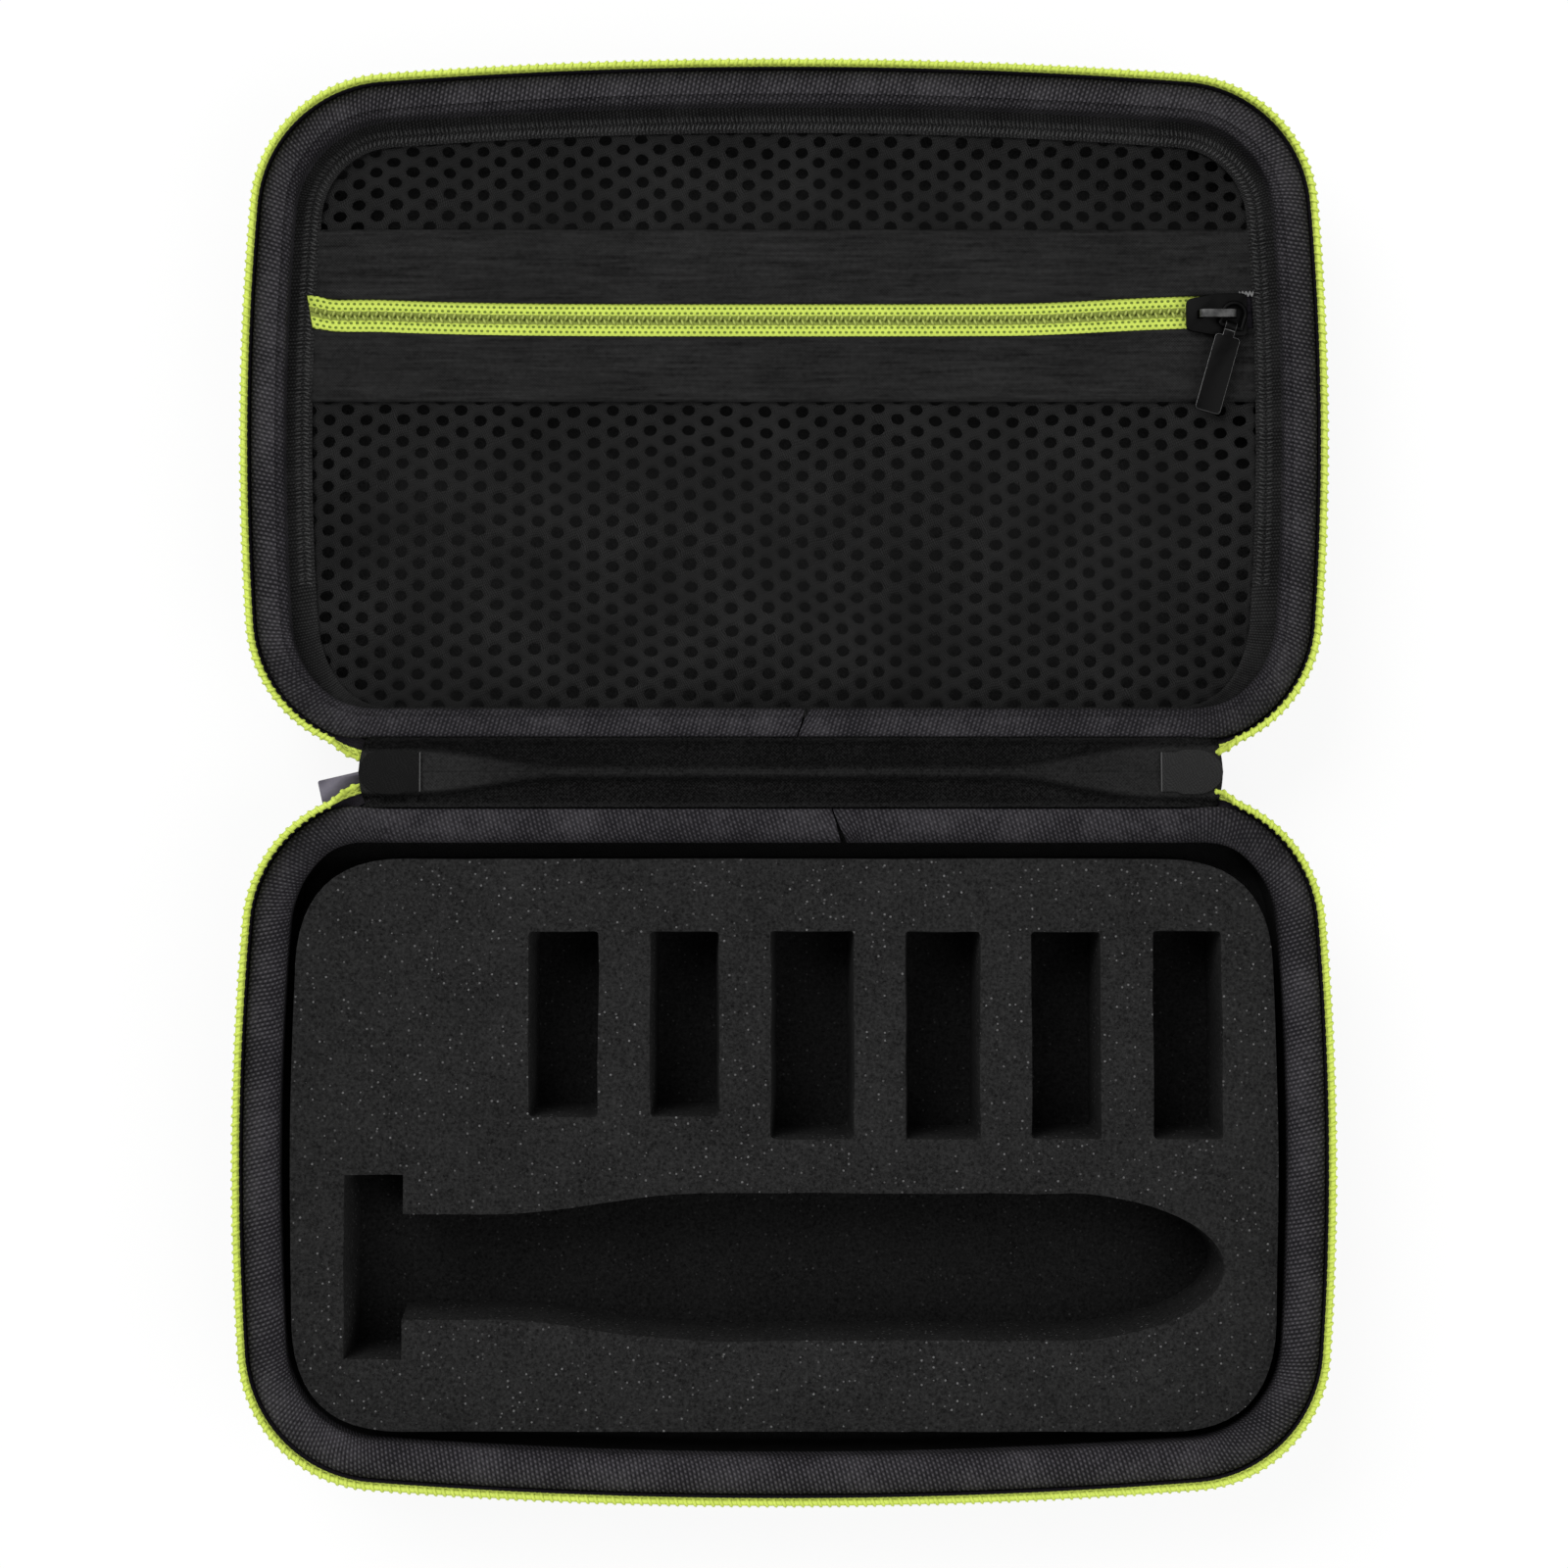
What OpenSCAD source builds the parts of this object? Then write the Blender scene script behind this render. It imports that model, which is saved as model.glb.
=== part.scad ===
// Hard zip-up travel case for a beard trimmer, lying open on its two backs.
// X runs along the spine, the base half is at -Y, the lid half at +Y and Z is up.
// The origin is on the table under the middle of the spine.

/* [Case] */
// Overall width across the zip at its widest
case_w = 211.346; // [190:0.001:250]
// Depth of each half, from its rim by the spine to its front rim
half_d = 131.126; // [120:0.001:160]
// Height of each half, from the table to its rim
shell_h = 28; // [26:0.5:40]
// Space between the two rims when the case lies open
rim_gap = 11; // [10:0.5:16]
// Corner radius of each half at its rim
corner_r = 25; // [23:0.5:30]
// Slope of the three bowed sides where they meet the corners, as a sine
bow_slope = 0.07584; // [0.02:0.00001:0.12]

/* [Moulded shells] */
// Thickness of the moulded foam wall
wall = 3.2; // [2.4:0.1:3.6]
// Thickness of the cloth lining
lining_t = 0.8; // [0.5:0.1:1.2]
// Lean of the walls, in degrees
draft = 5; // [2:0.5:8]
// Rounding where the walls meet the flat back
foot_r = 7; // [6:0.5:9]
// Corner radius of the flat middle of each back
back_r = 4; // [3:0.5:8]
// Overlap of the flat middle and the moulded edge round it
back_lap = 1; // [0.5:0.1:2]
// Thickness of the pressed rim that the zip is sewn to
rim_t = 1.2; // [1.1:0.1:1.6]
// Height of the pressed rim above the shelf behind it
rim_h = 6.5; // [5.5:0.1:8]
// Width of the woven binding rolled over the rim
binding_w = 5.6; // [4.5:0.1:7]
// Height of the binding's crown above the rim
binding_crown = 1.9; // [1:0.1:2.4]

/* [Rim zip] */
// Thickness of the zip tape
tape_t = 0.5; // [0.4:0.1:0.8]
// How far the open zip flares out past the rim
zip_flare = 2.4; // [1:0.1:4]
// Thickness of the coil
coil_t = 1.8; // [1.4:0.1:2.4]
// Height of the coil above the tape's edge
coil_h = 2.5; // [1.5:0.1:3.5]
// Spacing of the coil's loops
tooth_pitch = 1.7; // [1.4:0.1:3]
// Depth of the notches between the loops
tooth_depth = 0.7; // [0.4:0.1:1]
// Room between each coil and the middle of the closed zip
zip_clear = 0.15; // [0.1:0.05:0.4]

/* [Spine] */
// How far the spine reaches past the straight side of the rim at either end
spine_past = 6.712; // [5:0.001:8]
// Thickness of the spine strip
strip_t = 1.2; // [1:0.1:1.4]
// Room round the two folds of the spine
fold_clear = 0.15; // [0.15:0.05:0.3]
// Width of the ridge along the spine
ridge_w = 3.4; // [2:0.2:5]
// Height of the ridge along the spine
ridge_h = 0.8; // [0.4:0.1:1]
// Length of each zip end tab
tab_l = 12; // [9:0.5:16]
// Width of each zip end tab
tab_w = 9.5; // [8:0.5:10]
// Thickness of each zip end tab
tab_t = 1.4; // [0.8:0.1:1.6]
// Space between a tab and the zip's end
tab_gap = 0.7; // [0.4:0.1:2]

/* [Foam] */
// Drop of the foam's top below the rim
foam_drop = 2; // [1:0.5:4]
// Thickness of the pad under the cut layer
pad_t = 3.5; // [3:0.1:6]
// Room between the foam and the binding at the sides
foam_side_clear = 0.4; // [0.3:0.1:2]
// Room between the foam and the wall by the spine
foam_rear_clear = 6.1; // [1:0.1:7]
// Room between the foam and the front wall
foam_front_clear = 2.3; // [2.2:0.1:4]
// Length of the curve at each corner of the foam, along either side
foam_corner_r = 20.5; // [20:0.5:24]
// Foam left between the cut-outs and its short sides
foam_margin = 9.4; // [8:0.1:14]
// Foam left between the comb slots and its edge by the spine
slot_margin = 14; // [10:0.5:18]
// Foam left between the comb slots
slot_gap = 10; // [7:0.5:12]
// Width of a comb slot
slot_w = 13.4; // [10:0.2:15]
// Width of the comb slot beside the widest
mid_slot_w = 14.4; // [11:0.2:16]
// Width of the widest comb slot
wide_slot_w = 16; // [13:0.2:18]
// Length of a comb slot
slot_l = 39.8; // [30:0.2:41]
// Length of the two short comb slots
short_slot_l = 35.6; // [25:0.2:40]
// Distance from the foam's front edge to the middle of the trimmer pocket
pocket_front = 31.2; // [28:0.1:36]
// Width of the pocket for the blade head, along the case
head_w = 11.3; // [9:0.1:14]
// Length of the pocket for the blade head, across the case
head_l = 35; // [30:0.5:40]
// Width of the pocket for the trimmer's neck
neck_w = 20; // [16:0.5:24]
// Length of the straight neck
neck_l = 16; // [10:0.5:20]
// Width of the pocket for the trimmer's body
body_w = 28; // [24:0.5:32]
// Length over which the neck widens to the body
shoulder_l = 43; // [30:0.5:50]
// Length of the rounded tail end
tail_l = 32; // [20:0.5:40]
// Corner radius of the cut-outs
cut_r = 1.6; // [0.5:0.1:3]

/* [Lid pocket] */
// Thickness of the sewn border and the bands
border_t = 0.6; // [0.4:0.1:1]
// Width of the sewn border inside the lining
border_w = 6.2; // [5:0.1:9]
// Thickness of the net
net_t = 0.6; // [0.4:0.1:1]
// Width tucked under a border or band
lap = 2.5; // [1.5:0.1:3]
// Plain edge of the net inside the border
net_edge = 1; // [0.5:0.1:3]
// Size of a gap in the net, across its corners
net_gap = 4.9; // [3:0.1:5.5]
// Spacing of the gaps
net_pitch = 7.5; // [6.5:0.1:12]
// Distance from the rim by the spine to the pocket zip
pocket_zip_d = 84.3; // [70:0.1:90]
// Width of each band beside the pocket zip
band_w = 13.8; // [9:0.1:18]
// Distance from the zip's middle to a band
band_off = 3.3; // [3.1:0.1:4.5]
// Width of the slit between the two rows of teeth
chain_gap = 0.9; // [0.8:0.1:1.4]
// Width of one row of teeth, with its teeth
chain_w = 1; // [0.8:0.1:1.2]
// Height of the rows of teeth above the tape
chain_h = 1; // [0.6:0.1:1.4]

/* [Sliders and pulls] */
// Length of a slider
slider_l = 12; // [10:0.5:14]
// Width of a slider at its mouth
slider_w = 8.5; // [7:0.1:10]
// Width of a slider at its rear end
slider_rear_w = 6.1; // [5:0.1:8]
// Distance from a slider's middle to its widest place
slider_wide_x = 0.6; // [0:0.1:2]
// Corner radius of a slider's plates
slider_r = 1.2; // [0.5:0.1:2]
// Thickness of a slider's plates
plate_t = 1.1; // [0.8:0.1:1.4]
// Thickness of the post that joins the plates
post_t = 0.5; // [0.4:0.05:0.6]
// Length of the post
post_l = 2.6; // [2:0.1:4]
// Distance from a slider's mouth to the post
post_in = 1; // [0.5:0.1:2]
// Room between a slider and what runs through it
run_clear = 0.25; // [0.2:0.05:0.4]
// Thickness of a slider's flanges
flange_t = 1; // [0.6:0.1:1.2]
// Length of a slider's flanges
flange_l = 9.6; // [7:0.1:11]
// Length of a slider's bail
bail_l = 8; // [7:0.1:9]
// Height of a slider's bail
bail_h = 2.8; // [2.6:0.1:3.5]
// Thickness of the bail's bar
bail_bar = 1; // [0.8:0.1:1.2]
// Thickness of the bail's legs
bail_leg = 1.4; // [1.2:0.1:1.6]
// Width of the bail
bail_w = 1.6; // [1.2:0.1:1.8]
// Space between the pocket slider and the border at either end
slider_room = 0.3; // [0.2:0.1:4]
// Thickness of the pull ring's wire
wire_d = 0.9; // [0.7:0.05:1]
// Inner width of the pull ring
ring_w = 3.5; // [3.4:0.1:4.5]
// Distance from the bail's leg to the ring's straight bar
ring_l = 2.6; // [2.5:0.1:3]
// Room between the pull tab's loop and the ring
loop_clear = 0.15; // [0.1:0.05:0.2]
// Wall of the pull tab's loop
loop_wall = 0.35; // [0.3:0.05:0.4]
// Width of the pull tab's loop
loop_w = 2.2; // [1.6:0.1:2.4]
// Length of the pocket pull tab from the ring's bar
pull_l = 17.5; // [12:0.5:19]
// Width of the pocket pull tab
pull_w = 5; // [4:0.1:6.5]
// Thickness of the pull tabs
pull_t = 1; // [0.8:0.1:1.2]
// Lean of the pocket pull tab from square, in degrees
pull_lean = 16; // [0:1:20]
// Length of the rim puller from its hinge
puller_l = 17; // [12:0.5:19]
// Width of the rim puller
puller_w = 5; // [4.6:0.1:6.5]
// Width of the hole in the rim puller
eye_w = 2.6; // [2.2:0.1:3]
// Length of the hole in the rim puller
eye_l = 4.2; // [4:0.1:5]
// Distance from the spine's end to the rim slider under it
rim_slider_in = 5.4; // [0:0.1:8]
// Turn of the rim slider towards the base, in degrees
rim_slider_turn = 13; // [0:1:16]

/* [Hidden] */

// Colours
shell_black = "#1d1d1f";
cloth_black = "#2b2b2d";
woven_black = "#38383a";
lime = "#c3d94e";
olive = "#8c9a3c";
foam_grey = "#2c2c2c";
net_black = "#222224";
pull_black = "#19191b";
puller_grey = "#5c5963";

// Fineness of the tight and the wide curves
corner_fn = 96;
side_fn = 256;
round_steps = 6;
curve_steps = 12;

// Heights from the table
shelf_z = shell_h - rim_h;
floor_z = wall + lining_t;
fold_z = shell_h + fold_clear + strip_t / 2;
fold_in = rim_t - fold_clear - strip_t / 2;
fold_y = rim_gap / 2 + fold_in;
closed_gap = 2 * (fold_z - shell_h) + 2 * fold_y;
zip_h = closed_gap / 2 - zip_clear;
tape_top_z = shell_h + zip_h - coil_h;

// Middles of the four corners of a rim, and the arcs of its bowed sides
bow_a = asin(bow_slope);
bow_rise = tan(bow_a / 2);
corner_w = case_w / 2 - zip_flare - corner_r;
corner_d = half_d - 2 * corner_r;
corner_x = (corner_w - bow_rise * corner_d / 2) / (1 - bow_rise * bow_rise / 2);
side_c = (corner_d - bow_rise * corner_x) / 2;
side_bow = bow_rise * side_c;
front_bow = bow_rise * corner_x;
side_rho = side_c / bow_slope;
front_rho = corner_x / bow_slope;
rear_y = -(rim_gap / 2 + corner_r);
front_y = rear_y - 2 * side_c;
side_mid_x = side_rho - corner_x - side_bow;
side_mid_y = (rear_y + front_y) / 2;
front_mid_y = front_rho - front_bow + front_y;

// The spine reaches a little way round the two corners beside it, and the zip stops short of its end tabs
spine_l = 2 * (corner_x + spine_past);
zip_end_x = spine_l / 2 + tab_gap;
zip_end_a = asin((zip_end_x - corner_x) / (corner_r + zip_flare - coil_t));

// Arcs of a rim, each as middle x, middle y, radius, first angle and turn
function rim_arcs(cut) = [
    [-corner_x, rear_y, corner_r, 90 + cut, 90 - bow_a - cut],
    [side_mid_x, side_mid_y, side_rho + corner_r, 180 - bow_a, 2 * bow_a],
    [-corner_x, front_y, corner_r, 180 + bow_a, 90 - 2 * bow_a],
    [0, front_mid_y, front_rho + corner_r, 270 - bow_a, 2 * bow_a],
    [corner_x, front_y, corner_r, 270 + bow_a, 90 - 2 * bow_a],
    [-side_mid_x, side_mid_y, side_rho + corner_r, 360 - bow_a, 2 * bow_a],
    [corner_x, rear_y, corner_r, 360 + bow_a, 90 - bow_a - cut]
];
RIM = rim_arcs(0);
ZIP = rim_arcs(zip_end_a);

function arc_point(arc, out, t) =
    let (a = arc[3] + arc[4] * t)
    [arc[0] + (arc[2] + out) * cos(a), arc[1] + (arc[2] + out) * sin(a)];
function arc_points(arc, out, steps) = [for (i = [0:steps]) arc_point(arc, out, i / steps)];
function arc_length(arc, out) = (arc[2] + out) * arc[4] * PI / 180;
function rim_line(out) = [for (arc = RIM) each arc_points(arc, out, curve_steps)];
function reversed(list) = [for (i = [len(list) - 1:-1:0]) list[i]];
function ease(t) = t * t * (3 - 2 * t);

// Corner of an outline, drawn as a short curve between the two straight runs
function unit(v) = v / norm(v);
function corner_curve(before, at, after, r) =
    let (a = at + unit(before - at) * r, b = at + unit(after - at) * r)
    [for (i = [0:round_steps]) let (t = i / round_steps)
        (1 - t) * (1 - t) * a + 2 * t * (1 - t) * at + t * t * b];
function rounded(pts, r) =
    let (n = len(pts))
    [for (i = [0:n - 1]) each corner_curve(pts[(i + n - 1) % n], pts[i], pts[(i + 1) % n], r)];
function box_line(x0, y0, x1, y1) = [[x0, y0], [x1, y0], [x1, y1], [x0, y1]];

// A wall section, swept along the arcs of a rim: x is outwards from the rim and y is up.
// Each arc is the part of a full ring between the two lines from its middle to its ends.
sector_reach = 1.2;
module sweep_arc(arc) {
    reach = corner_r * ceil(sector_reach * arc[2] / corner_r);
    ends = [for (a = [arc[3], arc[3] + arc[4]]) reach * [cos(a), sin(a)]];
    translate([arc[0], arc[1], 0])
        intersection() {
            rotate_extrude($fn = arc[2] > 2 * corner_r ? side_fn : corner_fn)
                translate([arc[2], 0])
                children();
            translate([0, 0, -shell_h]) linear_extrude(3 * shell_h) polygon(concat([[0, 0]], ends));
        }
}
module sweep(arcs) {
    for (arc = arcs) sweep_arc(arc) children();
}

// The same section along the straight side by the spine
module along_spine(length) {
    translate([0, -rim_gap / 2, 0])
    rotate([90, 0, 90])
    linear_extrude(length, center = true)
    children();
}

module rim_ring() {
    sweep(RIM) children();
    along_spine(2 * corner_x) children();
}

// The lid half is the base half turned over the spine
module lid_side() {
    mirror([0, 1, 0]) children();
}

// Line of the moulded wall at a depth below its outer face, from the shelf down to the back
floor_in = corner_r - back_r;
foot_mid = -foot_r * cos(draft) - (shelf_z - foot_r + foot_r * sin(draft)) * tan(draft);
function wall_line(depth) = concat(
    [[-depth / cos(draft), shelf_z]],
    [for (i = [0:round_steps]) let (a = -draft - (90 - draft) * i / round_steps)
        [foot_mid + (foot_r - depth) * cos(a), foot_r + (foot_r - depth) * sin(a)]],
    [[-floor_in, depth]]
);
function wall_in(z) = (wall + lining_t) / cos(draft) + (shelf_z - z) * tan(draft);

module half_shell() {
    rim = [[-rim_t, shelf_z], [-rim_t, shell_h], [0, shell_h]];
    color(shell_black) {
        rim_ring() polygon(concat(rim, wall_line(0), reversed(wall_line(wall))));
        linear_extrude(wall) polygon(rim_line(back_lap - floor_in));
    }
}

module half_lining() {
    color(cloth_black) {
        rim_ring() polygon(concat(wall_line(wall), reversed(wall_line(wall + lining_t))));
        translate([0, 0, wall]) linear_extrude(lining_t) polygon(rim_line(back_lap - floor_in));
    }
}

// Woven tape rolled over the rim, a round-topped roll that stands on the shelf
binding_out = -rim_t - tape_t;
module half_binding() {
    roll_r = binding_w / 2;
    roll_z = shell_h + binding_crown - roll_r;
    crown = [for (i = [0:curve_steps]) let (a = 180 * i / curve_steps)
        [binding_out - roll_r * (1 - cos(a)), roll_z + roll_r * sin(a)]];
    color(woven_black)
        rim_ring()
        polygon(concat([[binding_out, shelf_z]], crown, [[binding_out - binding_w, shelf_z]]));
}

// Tape that stands on the shelf, inside the pressed rim, and leans out above it
module half_zip_tape() {
    tip = zip_flare - coil_t / 2;
    bend_z = shell_h + fold_clear;
    color(lime)
        sweep(ZIP) polygon([
            [-rim_t, shelf_z], [-rim_t, bend_z], [tip + tape_t / 2, tape_top_z],
            [tip - tape_t / 2, tape_top_z], [binding_out, bend_z], [binding_out, shelf_z]
        ]);
}

// Row of coil loops on the tape's edge; start shifts the two halves so that they would mesh
function tooth_line(low, high, start) = [
    for (arc = ZIP)
        let (count = round(arc_length(arc, high) / tooth_pitch))
        for (i = [0:count - 1])
            each [
                arc_point(arc, start ? low : high, i / count),
                arc_point(arc, start ? low : high, (i + 0.5) / count),
                arc_point(arc, start ? high : low, (i + 0.5) / count),
                arc_point(arc, start ? high : low, (i + 1) / count)
            ]
];
module half_zip_teeth(start) {
    inner = reversed([for (arc = ZIP) each arc_points(arc, zip_flare - coil_t, 2 * curve_steps)]);
    color(lime)
        translate([0, 0, tape_top_z])
        linear_extrude(coil_h)
        polygon(concat(tooth_line(zip_flare - tooth_depth, zip_flare, start), inner));
}

// Edge of the spine cloth, sewn in behind the pressed rim
module half_spine_hem() {
    color(cloth_black)
        along_spine(2 * corner_x)
        translate([binding_out, shelf_z])
        square([tape_t, fold_z + strip_t / 4 - shelf_z]);
}

module base_shell() half_shell();
module base_lining() half_lining();
module base_binding() half_binding();
module base_zip_tape() half_zip_tape();
module base_zip_teeth() half_zip_teeth(false);
module base_spine_hem() half_spine_hem();
module lid_shell() lid_side() half_shell();
module lid_lining() lid_side() half_lining();
module lid_binding() lid_side() half_binding();
module lid_zip_tape() lid_side() half_zip_tape();
module lid_zip_teeth() lid_side() half_zip_teeth(true);
module lid_spine_hem() lid_side() half_spine_hem();

// Foam block and the cut-outs in it
insert_z = floor_z + pad_t;
foam_top = shell_h - foam_drop;
foam_x = corner_x + corner_r + binding_out - binding_w - foam_side_clear;
foam_rear_y = -(rim_gap / 2 + wall_in(insert_z) + foam_rear_clear);
foam_front_y = -(rim_gap / 2 + half_d - front_bow - wall_in(insert_z) - foam_front_clear);
pad_inset = foot_r - wall - lining_t;

// Its short sides bow as the rim does
module foam_outline(inset) {
    x = foam_x - inset;
    polygon(rounded([
        [-x, foam_front_y + inset], [x, foam_front_y + inset], [x + side_bow, side_mid_y],
        [x, foam_rear_y - inset], [-x, foam_rear_y - inset], [-x - side_bow, side_mid_y]
    ], foam_corner_r));
}

// Pocket in the shape of a trimmer lying on its back: blade head, neck, body and round tail
module trimmer_pocket() {
    straight_l = 2 * (foam_x - foam_margin) - head_w - neck_l - shoulder_l - tail_l;
    edge = concat(
        [[-cut_r, neck_w / 2]],
        [for (i = [0:curve_steps]) let (t = i / curve_steps)
            [neck_l + shoulder_l * t, neck_w / 2 + (body_w - neck_w) / 2 * ease(t)]],
        [for (i = [0:curve_steps - 1]) let (a = 90 * i / curve_steps)
            [neck_l + shoulder_l + straight_l + tail_l * sin(a), body_w / 2 * cos(a)]]
    );
    tip = [[neck_l + shoulder_l + straight_l + tail_l, 0]];
    translate([-foam_x + foam_margin, foam_front_y + pocket_front]) {
        polygon(rounded(box_line(0, -head_l / 2, head_w, head_l / 2), cut_r));
        translate([head_w, 0])
            polygon(concat(edge, tip, [for (p = reversed(edge)) [p[0], -p[1]]]));
    }
}

// Row of slots for the clip-on combs, set out from the right
SLOT_W = [slot_w, slot_w, wide_slot_w, mid_slot_w, slot_w, slot_w];
SLOT_L = [short_slot_l, short_slot_l, slot_l, slot_l, slot_l, slot_l];
function slot_right(i) =
    i == len(SLOT_W) - 1 ? foam_x - foam_margin : slot_right(i + 1) - SLOT_W[i + 1] - slot_gap;
module comb_slots() {
    top = foam_rear_y - slot_margin;
    for (i = [0:len(SLOT_W) - 1])
        polygon(rounded(box_line(slot_right(i) - SLOT_W[i], top - SLOT_L[i], slot_right(i), top), cut_r));
}

module foam_pad() {
    color(foam_grey)
        translate([0, 0, floor_z])
        linear_extrude(pad_t)
        foam_outline(pad_inset);
}

module foam_insert() {
    color(foam_grey)
        translate([0, 0, insert_z])
        linear_extrude(foam_top - insert_z)
        difference() {
            foam_outline(0);
            trimmer_pocket();
            comb_slots();
        }
}

// Spine strip with a round edge along each fold and a soft ridge between them
module spine_strip() {
    ridge = [for (i = [0:2 * curve_steps]) let (t = i / curve_steps - 1)
        [ridge_w / 2 * t, strip_t / 2 + ridge_h * (1 + cos(180 * t)) / 2]];
    color(cloth_black)
        translate([0, 0, fold_z])
        rotate([90, 0, 90]) {
            linear_extrude(spine_l, center = true) {
                square([2 * fold_y, strip_t], center = true);
                for (side = [-1, 1])
                    translate([side * fold_y, 0]) circle(d = strip_t, $fn = corner_fn);
            }
            linear_extrude(spine_l - 2 * tab_l, center = true)
                polygon(concat([[-ridge_w / 2, 0]], ridge, [[ridge_w / 2, 0]]));
        }
}

// Tab sewn over the end of the zip, with a round outer end
module zip_end_tab(side) {
    color(cloth_black)
        translate([side * (spine_l / 2 - tab_l), 0, fold_z + strip_t / 2])
        linear_extrude(tab_t) {
            translate([side > 0 ? 0 : -(tab_l - tab_w / 2), -tab_w / 2])
                square([tab_l - tab_w / 2, tab_w]);
            translate([side * (tab_l - tab_w / 2), 0]) circle(d = tab_w, $fn = corner_fn);
        }
}
module zip_end_tab_left() zip_end_tab(-1);
module zip_end_tab_right() zip_end_tab(1);

// Bent-plate slider: its mouth is at +x, z = 0 is the middle of the tape that runs through it
module slider_plate() {
    linear_extrude(plate_t)
        polygon(rounded([
            [-slider_l / 2, -slider_rear_w / 2], [slider_wide_x, -slider_w / 2],
            [slider_l / 2, -slider_w / 2], [slider_l / 2, slider_w / 2],
            [slider_wide_x, slider_w / 2], [-slider_l / 2, slider_rear_w / 2]
        ], slider_r));
}

// Arched bail over the plate; the feet of its two legs are sunk in the plate
bail_in = bail_l / 2 - bail_leg;
module slider_bail() {
    shape = [
        [-bail_l / 2, -plate_t / 2], [-bail_l / 2 + bail_bar / 2, bail_h],
        [bail_l / 2 - bail_bar / 2, bail_h], [bail_l / 2, -plate_t / 2]
    ];
    hole = box_line(-bail_in, -plate_t, bail_in, bail_h - bail_bar);
    rotate([90, 0, 0])
        linear_extrude(bail_w, center = true)
        difference() {
            polygon(concat([shape[0]], corner_curve(shape[0], shape[1], shape[2], bail_bar),
                corner_curve(shape[1], shape[2], shape[3], bail_bar), [shape[3]]));
            polygon(hole);
        }
}

module zip_slider(above, below, flange_in, flange_low) {
    translate([0, 0, above]) {
        slider_plate();
        translate([0, 0, plate_t]) slider_bail();
        for (side = [-1, 1])
            translate([-flange_l / 2, side * (flange_in + flange_t / 2) - flange_t / 2, flange_low - above])
                cube([flange_l, flange_t, above - flange_low + plate_t / 2]);
    }
    translate([0, 0, -below - plate_t]) slider_plate();
    translate([slider_l / 2 - post_in - post_l, -post_t / 2, -below - plate_t / 2])
        cube([post_l, post_t, above + below + plate_t]);
}

// Rim slider: under the left end of the spine, on the outside of the case, with its bail down
rim_above = tape_t / 2 + coil_t + run_clear;
rim_below = tape_t / 2 + run_clear;
rim_slider_x = -(spine_l / 2 - rim_slider_in - slider_l / 2);
rim_slider_z = fold_z - strip_t / 2 - rim_below - plate_t;
module at_rim_slider() {
    translate([rim_slider_x, 0, rim_slider_z])
        rotate([0, 0, rim_slider_turn])
        rotate([180, 0, 180])
        children();
}
module rim_slider() {
    color(pull_black)
        at_rim_slider()
        zip_slider(rim_above, rim_below, coil_t + run_clear, tape_t / 2 + run_clear);
}

// Rim puller: its end bar turns inside the bail, which passes through the hole behind the bar
puller_bar_x = bail_in - pull_t / 2 - run_clear;
puller_bar_z = rim_above + plate_t + (bail_h - bail_bar) / 2;
module rim_puller() {
    eye_x = pull_t / 2;
    color(puller_grey)
        at_rim_slider()
        translate([puller_bar_x, 0, puller_bar_z]) {
            translate([0, 0, -pull_t / 2])
                linear_extrude(pull_t)
                difference() {
                    polygon(rounded(box_line(0, -puller_w / 2, puller_l, puller_w / 2), pull_t / 2));
                    translate([eye_x, -eye_w / 2]) square([eye_l, eye_w]);
                }
            rotate([90, 0, 0]) cylinder(d = pull_t, h = puller_w, center = true, $fn = corner_fn);
        }
}

// Levels of the lid pocket, and its middle line, as in the base half before it is turned over
border_in = wall_in(shelf_z - border_t) + border_w;
pocket_z = shelf_z - border_t;
net_z = pocket_z - net_t;
chain_y = -(rim_gap / 2 + pocket_zip_d);
chain_x = corner_x + corner_r - border_in - lap;

module pocket_border() {
    color(net_black)
        lid_side()
        rim_ring()
        translate([-border_in, pocket_z])
        square([border_w, border_t]);
}

// Part of the pocket panel between two distances from the middle of its zip
module panel(inset, from, to) {
    intersection() {
        polygon(rim_line(-inset));
        translate([-case_w / 2, chain_y - to]) square([case_w, to - from]);
    }
}

module pocket_band(side) {
    near = side > 0 ? band_off : -band_off - band_w;
    color(cloth_black)
        lid_side()
        translate([0, 0, pocket_z])
        linear_extrude(border_t)
        panel(border_in, near, near + band_w);
}
module pocket_band_upper() pocket_band(1);
module pocket_band_lower() pocket_band(-1);

// Six-sided gaps in staggered rows, kept clear of the sewn edges
module net_gaps(from, to) {
    row_step = net_pitch * sin(60);
    rows = floor((to - from - net_gap) / row_step);
    cols = floor((chain_x - net_gap / 2) / net_pitch);
    for (j = [0:rows], i = [-cols:cols - j % 2])
        translate([(i + (j % 2) / 2) * net_pitch, chain_y - (from + to) / 2 + (j - rows / 2) * row_step])
            circle(d = net_gap, $fn = 6);
}
module pocket_net(from, to, gap_from, gap_to) {
    color(net_black)
        lid_side()
        translate([0, 0, net_z])
        linear_extrude(net_t)
        difference() {
            panel(border_in - lap, from, to);
            intersection() {
                net_gaps(gap_from, gap_to);
                panel(border_in + net_edge, gap_from, gap_to);
            }
        }
}
panel_front = half_d - pocket_zip_d;
module pocket_net_upper() {
    near = band_off + band_w;
    pocket_net(near - lap, panel_front, near, panel_front - border_in);
}
module pocket_net_lower() {
    near = -band_off - band_w;
    pocket_net(-pocket_zip_d, near + lap, -pocket_zip_d + border_in, near);
}

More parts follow.
